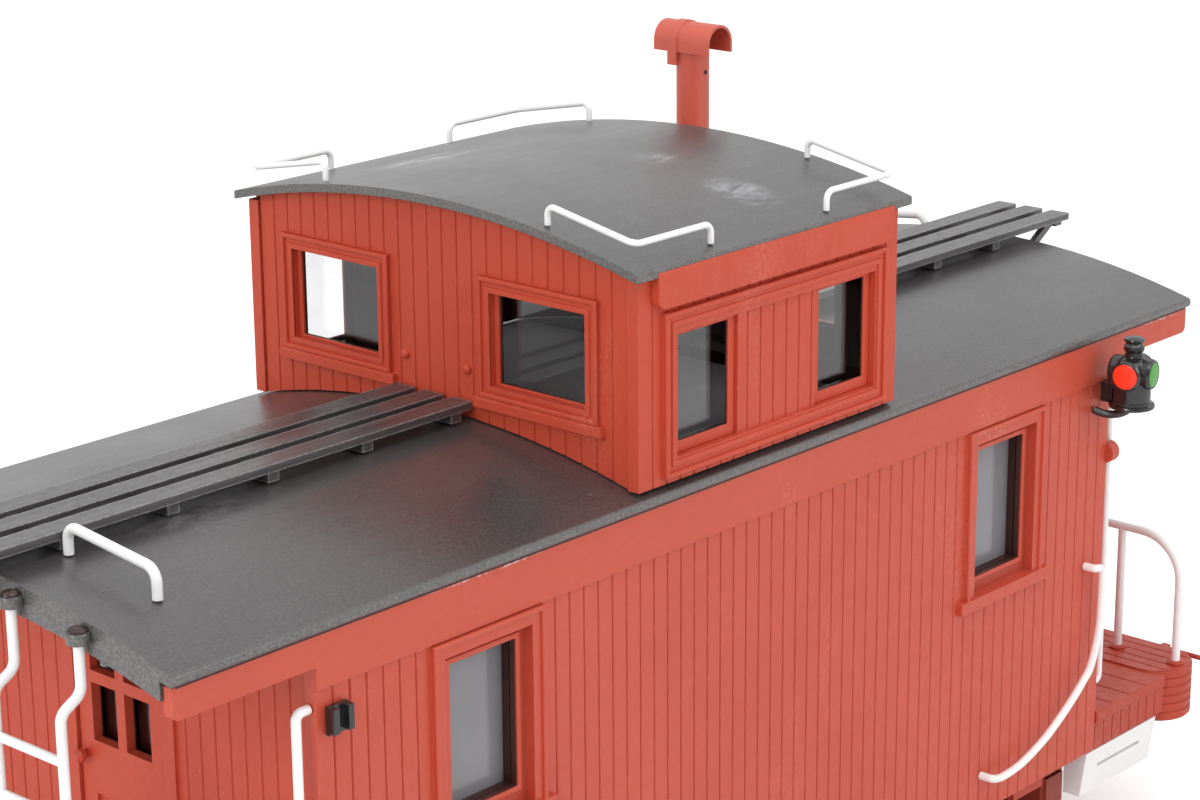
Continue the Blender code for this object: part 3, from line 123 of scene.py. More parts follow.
sash_proud = 0.0004
door_light = (0.0013, 0.0091, 0.1049)
door_face_x = 0.1356
door_thickness = 0.0026
door_rail = 0.0023

# White rods
ladder_offset = 0.0268
ladder_width = 0.0195
ladder_rod = 0.0021
ladder_standoff = 0.0016
ladder_jog_drop = 0.0115
ladder_jog_rise = 0.0028
rung_pitch = 0.0116
rung_share = 0.92
first_rung_drop = 0.0208
boss_drop = 0.0018
boss_height = 0.0022
boss_profile = ((0.0008, -0.00225), (0.0020, -0.00225), (0.0023, -0.0019), (0.0023, -0.0002),
                (0.0021, hair), (0.0008, hair))
screw_profile = ((0, -0.0004), (0.0019, -0.0004), (0.0019, 0.0003), (0.0017, 0.0006),
                 (0.0011, 0.0009), (0.0004, 0.0010), (0, 0.0008))
foot_profile = ((0, 0), (0.0023, 0), (0.0023, 0.0006), (0.0016, 0.0010), (0, 0.0010))
bend_radius = 0.0030
cupola_bend_share = 0.7
end_bend_share = 0.6
railing_x = 0.17804
railing_rod = 0.0023
railing_height = 0.0352
railing_corner = 0.0575
railing_middle = 0.0392
railing_gate = 0.0140
railing_bend = 0.0120
roof_grab = (0.1558, 0.0129, 0.0385, 0.0062, 0.0021)
cupola_grab = (0.0032, 0.0240, 0.0042, 0.0014)
side_grab_standoff = 0.0034
side_grab_rod = 0.0020
side_grab_inset = 0.0048
side_grab_run = 0.0475
side_grab_drop = 0.0442
side_grab_foot = 0.0093
side_grab_turn = 0.0008
side_grab_shares = ((0.078, 0.0), (0.02, 0.015), (0.0, 0.06), (0.0, 0.22), (0.012, 0.40),
                    (0.078, 0.595), (0.147, 0.667), (0.25, 0.75), (0.40, 0.848), (0.537, 0.919),
                    (0.722, 0.982), (0.878, 1.0), (0.95, 0.992), (1.0, 0.975))
end_grab = (0.0035, 0.0018, 0.0179, 0.0077)

# Marker lamps
lamp_x = 0.1315
lamp_y = 0.0684
lamp_z = 0.1405
lamp_turn = math.radians(10)
millimetre = 0.001
lamp_profile = ((0.0, -9.2), (4.9, -9.2), (5.6, -8.95), (5.75, -8.5), (5.6, -8.0), (4.85, -7.8),
                (4.8, -7.3), (4.55, -7.2), (4.6, -6.9), (4.6, 1.6), (4.45, 2.4), (3.9, 3.2),
                (3.0, 3.7), (2.2, 3.95), (2.1, 4.3), (2.3, 4.4), (2.3, 4.7), (1.95, 4.8),
                (1.95, 5.1), (2.4, 5.5), (2.6, 6.1), (2.5, 6.8), (2.05, 7.25), (1.95, 7.5),
                (2.45, 7.9), (2.65, 8.3), (2.5, 8.7), (1.9, 8.9), (1.2, 9.1), (0.0, 9.2))
lens_radius = 0.00325
lens_reach = 0.0056
lens_seat = lens_reach - 0.0002
lens_dome = (lens_radius * 0.985, 0.0004, 6)
rim_profile = ((0, 0), (0.0039, 0), (0.0039, lens_reach - 0.0008), (0.0036, lens_seat),
               (lens_radius, lens_reach), (lens_radius, lens_seat), (0, lens_seat))
arm_route = ((0.0, 0.0, -8.6), (0.0, 1.2, -10.2), (-0.6, 3.4, -11.4), (-1.4, 6.0, -11.8),
             (-2.2, 8.2, -11.4), (-2.5, 9.2, -11.0))
arm_rod = 0.0020
socket_place = (0.0022, 0.0068)
socket_blocks = ((-0.0017, 0.0017, 0.0030, 0.0022), (-0.0012, 0.0008, 0.0057, 0.0014))
socket_ribs = (2, 0.0008, 0.00028, 0.0033, 0.0025)

# Smoke pipe
pipe_x = 0.0715
pipe_y = 0.0240
pipe_radius = 0.00405
pipe_top = 0.2194
hood_radius = 0.0047
hood_wall = 0.0007
hood_length = 0.0172
hood_rise = 0.0019
hood_skirt = 0.0024
strap_width = 0.0028
strap_shift = 0.0026
strap_drop = 0.0032
strap_proud = 0.00035
strap_edge = 0.0005
hood_steps = 24
collar_radius = 0.0060
collar_profile = ((0, 0), (collar_radius, 0), (collar_radius, 0.0012), (0.0056, 0.0016),
                  (0.00425, 0.0030), (pipe_radius, 0.0030))
pipe_hole_z = pipe_top + hood_rise - 0.0074
pipe_hole = (0.00055, pipe_radius - 0.0004, pipe_radius + 0.00008)

# Floor, lamps and camera
floor_half = 7
floor_drop = 0.0002
floor_glow = 0.42
sky_lean = (0.64, 0.58, 0.50)
sky_span = (-0.75, 0.15, 0.30, 1.0)
matt_glow = 0.66
light_target = Vector((0, 0, 0.1))
lights = (("top_light", (-0.3, -0.5, 1.6), 1.2, 6.5), ("side_light", (0.5, -1.3, 1.0), 0.8, 4.4),
          ("end_light", (-1.5, -0.1, 0.8), 0.8, 7.4))
camera_place = (-0.4814, -0.4400, 0.3461)
camera_forward = (0.7131, 0.6392, -0.2879)
camera_right = (0.6657, -0.7462, -0.0076)
camera_lens = 88.69
camera_sensor = 36.0
camera_near = 0.01


# Node helpers
def wire(tree, socket, value):
    """Link an output to a socket, or set the socket's value."""
    if hasattr(value, "is_output"):
        tree.links.new(value, socket)
    else:
        socket.default_value = value


def add_node(tree, kind, inputs, **settings):
    """New node with its settings made and its inputs wired."""
    node = tree.nodes.new(kind)
    for key, value in settings.items():
        setattr(node, key, value)
    for key, value in inputs.items():
        wire(tree, node.inputs[key], value)
    return node


class Shade:
    """A small writer for one material's node tree."""

    def __init__(self, name, rough=0.5, spec=0.5, metal=0.0):
        self.mat = bpy.data.materials.new(name)
        self.mat.use_nodes = True
        self.tree = self.mat.node_tree
        self.bsdf = self.tree.nodes["Principled BSDF"]
        self.feed("Roughness", rough)
        self.feed("Specular IOR Level", spec)
        self.feed("Metallic", metal)
        self.coord = self.tree.nodes.new("ShaderNodeTexCoord").outputs["Object"]

    def feed(self, key, value):
        """Wire or set an input of the surface."""
        wire(self.tree, self.bsdf.inputs[key], value)

    def add(self, kind, inputs=None, **settings):
        return add_node(self.tree, kind, inputs or {}, **settings)

    def noise(self, scale, detail=3.0, rough=0.5, stretch=None):
        """Noise in object space, stretched where a stretch is given."""
        coord = self.coord
        if stretch:
            coord = self.add("ShaderNodeMapping", {"Vector": coord, "Scale": stretch}).outputs[0]
        return self.add("ShaderNodeTexNoise", {"Vector": coord, "Scale": scale, "Detail": detail,
                                               "Roughness": rough}).outputs["Fac"]

    def ramp(self, value, low, high, to_low=0.0, to_high=1.0):
        """Clamped linear change of a value between two levels."""
        return self.add("ShaderNodeMapRange", {"Value": value, "From Min": low, "From Max": high,
                                               "To Min": to_low, "To Max": to_high}).outputs[0]

    def math(self, operation, a, b=0.0):
        return self.add("ShaderNodeMath", {0: a, 1: b}, operation=operation).outputs[0]

    def mix(self, factor, a, b):
        """Colour a turned toward colour b by a factor; a and b are links or RGB values."""
        a, b = (c if hasattr(c, "is_output") else (*c, 1.0) for c in (a, b))
        return self.add("ShaderNodeMix", {0: factor, 6: a, 7: b}, data_type="RGBA").outputs[2]

    def edges(self, radius, low=0.02, high=0.25):
        """1 on sharp outer edges, 0 on flat faces."""
        bevel = self.add("ShaderNodeBevel", {"Radius": radius}, samples=4).outputs[0]
        normal = self.add("ShaderNodeNewGeometry").outputs["Normal"]
        dot = self.add("ShaderNodeVectorMath", {0: bevel, 1: normal},
                       operation="DOT_PRODUCT").outputs["Value"]
        return self.ramp(self.math("SUBTRACT", 1.0, dot), low, high)

    def upright(self):
        """1 on upright faces, 0 on level ones."""
        normal = self.add("ShaderNodeNewGeometry").outputs["Normal"]
        rise = self.add("ShaderNodeSeparateXYZ", {"Vector": normal}).outputs[2]
        return self.ramp(self.math("ABSOLUTE", rise), 0.6, 0.2)

    def axis(self, index):
        return self.add("ShaderNodeSeparateXYZ", {"Vector": self.coord}).outputs[index]

    def within(self, index, low, high, soft=0.0002):
        """1 between two places on an axis, 0 outside them."""
        value = self.axis(index)
        above = self.ramp(value, low - soft, low + soft)
        below = self.ramp(value, high + soft, high - soft)
        return self.math("MULTIPLY", above, below)

    def near(self, place, reach):
        """1 at a place, falling to 0 at the reach along each axis."""
        value = self.coord
        for operation, other in (("SUBTRACT", place), ("DIVIDE", reach)):
            value = self.add("ShaderNodeVectorMath", {0: value, 1: other},
                             operation=operation).outputs[0]
        length = self.add("ShaderNodeVectorMath", {0: value}, operation="LENGTH").outputs["Value"]
        return self.ramp(length, 1.0, 0.35)

    def rough(self, scale, detail, low, high, start=0.3, end=0.7):
        """Roughness that drifts between two levels."""
        self.feed("Roughness", self.ramp(self.noise(scale, detail), start, end, low, high))

    def bump(self, parts, distance=0.0001, soft_edge=0.0):
        """Stack of (height, strength) bumps, over softened edges."""
        normal = None
        if soft_edge:
            normal = self.add("ShaderNodeBevel", {"Radius": soft_edge}, samples=4).outputs[0]
        for height, strength in parts:
            node = self.add("ShaderNodeBump", {"Height": height, "Strength": strength,
                                               "Distance": distance})
            if normal:
                self.tree.links.new(normal, node.inputs["Normal"])
            normal = node.outputs[0]
        self.feed("Normal", normal)


LIGHT = (0.620, 0.083, 0.041)
DARK = (0.570, 0.072, 0.035)


def red_paint(name, spec, inside=None, grain=(1, 1, 0.06), light=LIGHT, dark=DARK, chips=()):
    """Semi-matt oxide red plastic: streaks, dust, worn edges, pale chips and painted shade inside.
    """
    s = Shade(name, 0.5, spec)
    cloud = s.ramp(s.noise(28, 4), 0.3, 0.7)
    streak = s.noise(900, 3, 0.6, grain)
    base = s.mix(cloud, dark, light)
    base = s.mix(s.ramp(streak, 0.35, 0.75, 0.0, 0.16), base, tuple(c * 1.16 for c in light))
    dust = s.ramp(s.noise(1500, 2, 0.7), 0.725, 0.765, 0.0, 0.6)
    patch = s.ramp(s.noise(60, 2), 0.50, 0.62)
    base = s.mix(s.math("MULTIPLY", dust, patch), base, (0.85, 0.52, 0.45))
    haze = s.math("MULTIPLY", s.ramp(s.noise(42, 3, 0.6, (1, 1, 0.5)), 0.60, 0.72, 0.0, 0.30),
                  s.ramp(s.noise(1100, 3, 0.7), 0.45, 0.65))
    base = s.mix(haze, base, (0.78, 0.30, 0.24))
    worn = s.math("MULTIPLY", s.edges(0.00035), s.ramp(s.noise(260, 3), 0.52, 0.66, 0.10, 0.70))
    base = s.mix(worn, base, (0.84, 0.30, 0.22))
    for place, reach in chips:
        spot = s.math("MULTIPLY", s.near(place, reach),
                      s.ramp(s.noise(420, 4, 0.75, (1, 1, 1.6)), 0.50, 0.56))
        base = s.mix(spot, base, (0.86, 0.80, 0.78))
    # Painted shade: faces inside the car's box turn dark red, as the hollow shell would lie in
    # shadow.
    if inside:
        x, y, z0, z1 = inside
        painted_shade_inside = s.math("MULTIPLY", s.within(0, -x, x), s.within(1, -y, y))
        painted_shade_inside = s.math("MULTIPLY", painted_shade_inside, s.within(2, z0, z1))
        base = s.mix(painted_shade_inside, base, (0.070, 0.020, 0.015))
    s.feed("Base Color", base)
    s.rough(420, 4, 0.36, 0.54)
    s.bump(((s.noise(2600, 2), 0.16), (streak, 0.20)), 0.00012, 0.00015)
    return s.mat


def roof_black(name, scuffs=()):
    """Charcoal satin plastic with a fine grain, pale scuffs and greyer, gritty edges."""
    s = Shade(name, 0.4, 1.0)
    grain = s.noise(1500, 2, 0.6)
    base = s.mix(s.ramp(grain, 0.32, 0.72), (0.040, 0.036, 0.036), (0.085, 0.080, 0.081))
    cloud = s.ramp(s.noise(22, 4, 0.6), 0.42, 0.75, 0.0, 0.35)
    base = s.mix(cloud, base, (0.100, 0.095, 0.098))
    speck = s.math("MULTIPLY", s.ramp(s.noise(620, 2, 0.6), 0.745, 0.775),
                   s.ramp(s.noise(90, 2), 0.46, 0.6))
    base = s.mix(s.math("MULTIPLY", speck, 0.5), base, (0.42, 0.42, 0.42))
    for place, reach, strength in scuffs:
        rubbed = s.math("MULTIPLY", s.ramp(s.noise(150, 5, 0.7, (1, 2.2, 1)), 0.40, 0.62),
                        s.ramp(s.noise(1500, 3, 0.7), 0.30, 0.62, 0.4, 1.0))
        rubbed = s.math("MULTIPLY", rubbed, s.near(place, reach))
        base = s.mix(s.math("MULTIPLY", rubbed, strength), base, (0.42, 0.42, 0.45))
    grit = s.math("MULTIPLY", s.math("MAXIMUM", s.edges(0.0008, 0.01, 0.15), s.upright()),
                  s.ramp(s.noise(1900, 2, 0.7), 0.42, 0.62, 0.22, 1.0))
    base = s.mix(s.math("MULTIPLY", grit, 0.80), base, (0.20, 0.192, 0.180))
    s.feed("Base Color", base)
    s.rough(60, 3, 0.285, 0.335)
    s.bump(((grain, 0.10),), 0.0001, 0.0002)
    return s.mat


def plank_black(name):
    """Dark painted boards with fine lengthwise grain and pale rubbed edges."""
    s = Shade(name, 0.4, 1.0)
    grain = s.noise(700, 4, 0.65, (0.05, 1, 1))
    base = s.mix(s.ramp(grain, 0.3, 0.7), (0.034, 0.031, 0.031), (0.100, 0.094, 0.096))
    worn = s.math("MULTIPLY", s.edges(0.0006, 0.005, 0.08),
                  s.ramp(s.noise(1900, 2, 0.6), 0.40, 0.58, 0.30, 1.0))
    base = s.mix(s.math("MULTIPLY", worn, 0.90), base, (0.50, 0.495, 0.48))
    s.feed("Base Color", base)
    s.rough(500, 3, 0.28, 0.40)
    s.bump(((grain, 0.35), (s.noise(2600, 2), 0.15)), 0.00012, 0.00015)
    return s.mat


def gloss_white(name):
    """Thick glossy white paint, slightly uneven."""
    s = Shade(name, 0.28, 0.6)
    base = s.mix(s.ramp(s.noise(120, 3), 0.35, 0.7), (0.965, 0.96, 0.95), (1.0, 1.0, 0.995))
    s.feed("Base Color", base)
    s.rough(60, 3, 0.28, 0.32)
    s.bump(((s.noise(250, 2), 0.01),), 0.0001)
    return s.mat


def lamp_black(name):
    """Satin black castings rubbed grey on their edges."""
    s = Shade(name, 0.22, 0.9)
    base = s.mix(s.ramp(s.noise(800, 3), 0.3, 0.7), (0.006, 0.006, 0.007), (0.016, 0.016, 0.018))
    worn = s.math("MULTIPLY", s.edges(0.0003, 0.01, 0.2),
                  s.ramp(s.noise(1200, 2), 0.4, 0.65, 0.0, 0.7))
    base = s.mix(worn, base, (0.12, 0.12, 0.125))
    s.feed("Base Color", base)
    s.rough(600, 3, 0.16, 0.28)
    s.bump(((s.noise(1100, 3), 0.12),), 0.0001)
    return s.mat


def mottled(name, base, cloud, dark, light, gloss, grain, soft_edge=0.0):
    """Two colours mixed by a cloud, with an uneven gloss and a fine grain."""
    s = Shade(name, *base)
    scale, detail, low, high = cloud
    s.feed("Base Color", s.mix(s.ramp(s.noise(scale, detail), low, high), dark, light))
    s.rough(gloss[0], 3, *gloss[1:])
    s.bump(((s.noise(grain[0], 3), grain[1]),), 0.0001, soft_edge)
    return s.mat


def glass(name, tint, transmission, haze=0.07):
    """Clear plastic panes, faintly uneven."""
    s = Shade(name, 0.03, 0.5)
    s.feed("IOR", 1.49)
    s.feed("Transmission Weight", transmission)
    cloud = s.ramp(s.noise(90, 2), 0.3, 0.7)
    s.feed("Base Color", s.mix(cloud, tint, tuple(c * 0.93 for c in tint)))
    s.rough(300, 3, haze * 0.3, haze, 0.35, 0.75)
    return s.mat


def lens_paint(name, colour):
    """Bright painted lens under clear lacquer; its faint glow is painted light."""
    s = Shade(name, 0.25, 0.4)
    s.feed("Coat Weight", 0.3)
    base = s.mix(s.ramp(s.noise(900, 2), 0.3, 0.7), colour,
                 tuple(min(1.0, c * 1.10) for c in colour))
    s.feed("Base Color", base)
    # Painted light: the lens glows faintly in its own colour, though no lamp lights it.
    s.feed("Emission Color", base)
    s.feed("Emission Strength", 0.25)
    s.rough(900, 2, 0.3, 0.42)
    return s.mat


# Insides (half length, half width, low, high) get painted shade; chips and scuffs are (place,
# reach, ...)
cabin = (0.1334, 0.0572, 0.0450, 0.1520)
look_out = (0.0425, 0.0576, 0.1400, 0.2100)
crown_chips = (((-0.0440, 0.0310, 0.2034), (0.004, 0.012, 0.0012)),
               ((-0.0440, 0.0120, 0.2050), (0.004, 0.007, 0.0014)))
arm_chips = (((0.1600, -0.0600, 0.1474), (0.012, 0.003, 0.0010)),
             ((-0.0900, -0.0600, 0.1474), (0.020, 0.003, 0.0008)))
main_scuffs = (((-0.125, -0.010, 0.158), (0.020, 0.012, 0.01), 0.30),)
cupola_scuffs = (((-0.0130, 0.0320, 0.2045), (0.019, 0.007, 0.01), 1.0),
                 ((0.0112, -0.0410, 0.2040), (0.008, 0.011, 0.01), 1.0),
                 ((0.0150, -0.0130, 0.2062), (0.006, 0.006, 0.01), 0.7))
even = (1, 1, 1)
side_red = red_paint("red side boards", 0.6, cabin, chips=arm_chips)
end_red = red_paint("red end boards", 0.4, cabin)
cupola_red = red_paint("red cupola boards", 0.35, look_out)
cupola_end_red = red_paint("red cupola end boards", 0.25, look_out, chips=crown_chips)
plain_red = red_paint("red parts", 0.6, None, even)
# Painted sheen: the smoke pipe gets a lighter copy of the red, standing for the glossy reflection
# on it.
sheen_pipe_red = red_paint("red smoke pipe with painted sheen", 0.7, None, even,
                     (0.700, 0.125, 0.076), (0.640, 0.108, 0.064))
deck_red = red_paint("red deck", 0.35, None, (1, 0.06, 1),
                     (0.52, 0.066, 0.036), (0.46, 0.057, 0.031))
truck_red = red_paint("red trucks", 0.5, None, even, (0.45, 0.066, 0.036), (0.38, 0.055, 0.030))
main_roof_mat = roof_black("charcoal main roof", main_scuffs)
cupola_roof_mat = roof_black("charcoal cupola roof", cupola_scuffs)
plank_mat = plank_black("charcoal running boards")
white_mat = gloss_white("white rods")
lamp_mat = lamp_black("black lamps")
screw_and_hole_shade_mat = mottled("dull screws and painted hole shade", (0.4, 0.5, 0.6), (1500, 3, 0.35, 0.65), (0.030, 0.016, 0.014),
                    (0.11, 0.075, 0.070), (900, 0.28, 0.5), (1800, 0.25))
deck_grey = mottled("grey look-out deck", (0.5, 0.4), (60, 4, 0.3, 0.7), (0.62, 0.62, 0.65),
                    (0.74, 0.74, 0.77), (500, 0.4, 0.6), (1500, 0.2))
# Dark red-brown that stands for shade: painted shade in the window reveals and under the eaves.
shade_lining_mat = mottled("painted shade linings", (0.4, 0.4), (200, 3, 0.3, 0.7), (0.040, 0.014, 0.011),
                     (0.070, 0.024, 0.018), (500, 0.35, 0.5), (1500, 0.2))
steel_mat = mottled("wheel steel", (0.4, 0.5, 0.85), (500, 4, 0.3, 0.7), (0.07, 0.065, 0.06),
                    (0.13, 0.12, 0.11), (900, 0.30, 0.5), (1500, 0.2), 0.0002)
pane_mat = glass("smoky panes", (0.60, 0.59, 0.63), 0.62)
clear_mat = glass("clear panes", (0.985, 0.985, 0.99), 1.0, 0.015)
red_lens_mat = lens_paint("red lens paint", (1.0, 0.040, 0.012))
green_lens_mat = lens_paint("green lens paint", (0.045, 0.27, 0.025))

FINISH = ((("door_glass", "cupola_glazing"), clear_mat), (("side_glass",), pane_mat),
          (("body_side",), side_red), (("body_end", "door"), end_red),
          (("main_roof",), main_roof_mat), (("running_board",), plank_mat),
          (("cupola_side",), cupola_red), (("cupola_end",), cupola_end_red),
          (("cupola_roof",), cupola_roof_mat), (("smoke_pipe",), sheen_pipe_red),
          (("ladder", "railing", "roof_grab", "cupola_grab", "side_grab", "end_grab", "step"),
           white_mat),
          (("marker_lamp", "marker_bracket", "truss_rods", "coupler"), lamp_mat),
          (("truck",), truck_red), (("wheelset",), steel_mat),
          (("platform", "underframe"), deck_red))


def finish_for(name):
    """Material of the first group with a prefix that a node's name starts with."""
    for prefixes, material in FINISH:
        if name.startswith(prefixes):
            return material
    return plain_red


for name, obj in nodes.items():
    if not obj.material_slots:
        obj.data.materials.append(finish_for(name))
    for slot in obj.material_slots:
        slot.material = finish_for(name)


# Mesh helpers
def ring_faces(bm, rings, closed=False):
    """Bridge equal rings of vertices in order."""
    pairs = list(zip(rings, rings[1:]))
    if closed:
        pairs.append((rings[-1], rings[0]))
    for first, second in pairs:
        count = len(first)
        for k in range(count):
            n = (k + 1) % count
            bm.faces.new((first[k], first[n], second[n], second[k]))


def extrude(bm, rings):
    """Bridge rings and close both ends."""
    ring_faces(bm, rings)
    bm.faces.new(rings[0])
    bm.faces.new(rings[-1])


def tube(bm, path, diameter, sides=16):
    """Round rod along a path, with flat ends."""
    path = [Vector(p) for p in path]
    forward = (path[1] - path[0]).normalized()
    guide = Vector((0, 0, 1)) if abs(forward.z) < 0.9 else Vector((1, 0, 0))
    across = forward.cross(guide).normalized()
    rings = []
    for i, point in enumerate(path):
        into = (point - path[i - 1]).normalized() if i else forward
        away = (path[i + 1] - point).normalized() if i + 1 < len(path) else into
        across = (across - into * across.dot(into)).normalized()
        rise = across.cross(into).normalized()
        plane = (into + away).normalized()
        ring = []
        for k in range(sides):
            angle = math.tau * k / sides
            offset = (across * math.cos(angle) + rise * math.sin(angle)) * diameter / 2
            offset -= into * (offset.dot(plane) / into.dot(plane))
            ring.append(bm.verts.new(point + offset))
        rings.append(ring)
    extrude(bm, rings)


def rounded(points, radius, steps=7):
    """Replace the inner corners of a path by arcs."""
    points = [Vector(p) for p in points]
    path = [points[0]]
    for before, corner, after in zip(points, points[1:], points[2:]):
        a = (before - corner).normalized()
        b = (after - corner).normalized()
        angle = a.angle(b)
        reach = min(radius / math.tan(angle / 2), (before - corner).length * 0.49,
                    (after - corner).length * 0.49)
        bow = reach * math.tan(angle / 2)
        centre = corner + (a + b).normalized() * (bow / math.sin(angle / 2))
        start = corner + a * reach - centre
        end = corner + b * reach - centre
        sweep = start.angle(end)
        for i in range(steps + 1):
            share = i / steps
            one = math.sin((1 - share) * sweep) / math.sin(sweep)
            two = math.sin(share * sweep) / math.sin(sweep)
            path.append(centre + start * one + end * two)
    path.append(points[-1])
    return path


def smooth_path(points, steps=5):
    """Catmull-Rom curve through the points."""
    points = [Vector(p) for p in points]
    padded = [points[0] * 2 - points[1]] + points + [points[-1] * 2 - points[-2]]
    path = []
    for a, b, c, d in zip(padded, padded[1:], padded[2:], padded[3:]):
        for i in range(steps):
            t = i / steps
            path.append(((b * 2) + (c - a) * t + (a * 2 - b * 5 + c * 4 - d) * t * t
                         + (b * 3 - a - c * 3 + d) * t ** 3) / 2)
    path.append(points[-1])
    return path


def lathe(bm, profile, centre, segments=40, turn=None):
    """Spin (radius, height) points about Z, then turn and move them."""
    rings = []
    for radius, height in profile:
        if radius == 0:
            rings.append([bm.verts.new((0, 0, height))])
        else:
            rings.append([bm.verts.new((radius * math.cos(math.tau * k / segments),
                                        radius * math.sin(math.tau * k / segments), height))
                          for k in range(segments)])
    for first, second in zip(rings, rings[1:]):
        for k in range(segments):
            n = (k + 1) % segments
            corners = [first[k % len(first)], first[n % len(first)], second[n % len(second)],
                       second[k % len(second)]]
            bm.faces.new(list(dict.fromkeys(corners)))
    made = [v for ring in rings for v in ring]
    if turn:
        bmesh.ops.transform(bm, matrix=turn, verts=made)
    bmesh.ops.translate(bm, vec=Vector(centre), verts=made)


def slab(bm, low, high):
    """Box between two corners."""
    size = [abs(h - l) for l, h in zip(low, high)]
    middle = [(h + l) / 2 for l, h in zip(low, high)]
    made = bmesh.ops.create_cube(bm, size=1.0)["verts"]
    bmesh.ops.scale(bm, vec=size, verts=made)
    bmesh.ops.translate(bm, vec=middle, verts=made)


def half_circle(steps):
    """Angles from straight down, over outward, to straight up."""
    return [math.pi * (i / steps - 0.5) for i in range(steps + 1)]


def z_turned(direction):
    """Matrix that turns +Z to a direction."""
    return Vector(direction).to_track_quat("Z", "Y").to_matrix().to_4x4()


def add_object(name, data):
    """Object linked to the scene."""
    obj = bpy.data.objects.new(name, data)
    bpy.context.scene.collection.objects.link(obj)
    return obj


def frame_rings(bm, axis, steps):
    """Closed frame through rectangles (a0, a1, z0, z1), each at its depth on the axis."""
    rings = []
    for (a0, a1, z0, z1), depth in steps:
        rings.append([bm.verts.new((a, depth, z) if axis == 1 else (depth, a, z))
                      for a, z in ((a0, z0), (a1, z0), (a1, z1), (a0, z1))])
    ring_faces(bm, rings, True)


def moulding(bm, axis, face, outward, rect, profile):
    """Mitred frame on a wall; its profile is (inset from the rectangle, height off the wall)."""
    a0, a1, z0, z1 = rect
    frame_rings(bm, axis, [((a0 + inset, a1 - inset, z0 + inset, z1 - inset),
                            face + outward * height) for inset, height in profile])


def set_in(bm, axis, outward, outer, inner, front, back):
    """Flat frame between two rectangles, from a front to a back depth."""
    corners = ((outer, front), (inner, front), (inner, back), (outer, back))
    frame_rings(bm, axis, [(rect, outward * depth) for rect, depth in corners])


def piece(name, bm, material, body="car", smooth=35, bevel=0.0, replaces=()):
    """Turn a bmesh into a visible piece that rides on a body."""
    bmesh.ops.recalc_face_normals(bm, faces=bm.faces)
    mesh = bpy.data.meshes.new(name)
    bm.to_mesh(mesh)
    bm.free()
    obj = add_object(name, mesh)
    mesh.materials.append(material)
    if bevel:
        soft = obj.modifiers.new("soft", "BEVEL")
        soft.width = bevel
        soft.segments = 2
        soft.limit_method = "ANGLE"
        soft.angle_limit = math.radians(smooth)
    mesh.shade_smooth()
    mesh.set_sharp_from_angle(angle=math.radians(smooth))
    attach(obj, body)
    if replaces:
        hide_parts(*replaces)
    return obj


def arc_top(y, eave, half_chord, rise):
    """Height of an arched roof over y."""
    radius = (half_chord ** 2 + rise ** 2) / (2 * rise)
    return eave + math.sqrt(radius ** 2 - y ** 2) - (radius - rise)


def roof_z(y):
    return arc_top(y, eave_z, roof_half_width, roof_rise)


def cupola_z(y):
    return arc_top(y, cupola_eave_z, cupola_roof_half_width, cupola_roof_rise)


ends = (("front", -1), ("rear", 1))
sides = (("left", -1), ("right", 1))
bead = ((0.0, -0.0002), (0.0, bead_proud * 0.7), (bead_width * 0.2, bead_proud),
        (bead_width * 0.8, bead_proud), (bead_width, bead_proud * 0.7), (bead_width, -0.0002))
sash = ((0.0, -0.0002), (sash_width * 0.15, sash_proud), (sash_width, sash_proud),
        (sash_width, -0.0002))


# Window mouldings
def body_window_trim(name, side):
    """Casing bead, sash moulding and rounded sill of both windows of a side."""
    middle, half, low, high = side_window
    stile, bottom_rail, top_rail = sash_rails
    bm = bmesh.new()
    face = side * (half_width + casing_proud)
    for sign in (-1, 1):
        x = sign * middle
        moulding(bm, 1, face, side, (x - half - side_trim, x + half + side_trim,
                                     low - side_casing_drop, high + side_trim), bead)
        moulding(bm, 1, side * (half_width - sash_recess), side,
                 (x - half + stile - sash_width, x + half - stile + sash_width,
                  low + bottom_rail - sash_width, high - top_rail + sash_width), sash)
        reach = half + sill_reach + hair
        slab(bm, (x - reach, side * (half_width - hair), low - sill_height - hair),
             (x + reach, side * (half_width + sill_proud), low + hair))
    piece(name, bm, side_red, bevel=wide_bevel)


def cupola_side_trim_piece(name, side):
    """Raised casing round both windows of a cupola side, their sashes and the deep cornice."""
    half, low, high = cupola_side_window
    shift = -side * cupola_side_shift
    bm = bmesh.new()
    wall = half_width
    face = side * (wall + casing_proud)
    trim = cupola_side_trim
    a0, a1 = shift - half, shift + half
    top = high + trim + cupola_casing_lift
    slab(bm, (a0 - trim, side * (wall - hair), high + trim - hair), (a1 + trim, face, top))
    moulding(bm, 1, face, side, (a0 - trim, a1 + trim, low - trim, top), bead)
    step = bead_width * cupola_strip_share
    moulding(bm, 1, face, side,
             (a0 - trim + step, a1 + trim - step, low - trim + step, top - step), sash)
    stile, bottom_rail, top_rail, recess = cupola_sash
    for sign in (-1, 1):
        x = shift + sign * (half - cupola_side_opening / 2)
        edge = cupola_side_opening / 2 - hair
        outer = (x - edge, x + edge, low + hair, high - hair)
        inner = (x - edge + stile, x + edge - stile, low + bottom_rail, high - top_rail)
        set_in(bm, 1, side, outer, inner, wall - recess, wall - recess - cupola_sash_depth)
    reach, drop, rise, proud = cupola_cornice
    strip = [(-reach, rise), (-reach, drop + cornice_round)]
    strip += [(-reach + cornice_round * (1 - math.cos(t)), drop + cornice_round * (1 - math.sin(t)))
              for t in [math.pi / 2 * i / 6 for i in range(1, 7)]]
    strip += [(-a, z) for a, z in strip[::-1]]
    rings = [[bm.verts.new((a, side * depth, z)) for a, z in strip]
             for depth in (wall - hair, wall + proud)]
    extrude(bm, rings)
    piece(name, bm, cupola_red, bevel=medium_bevel)


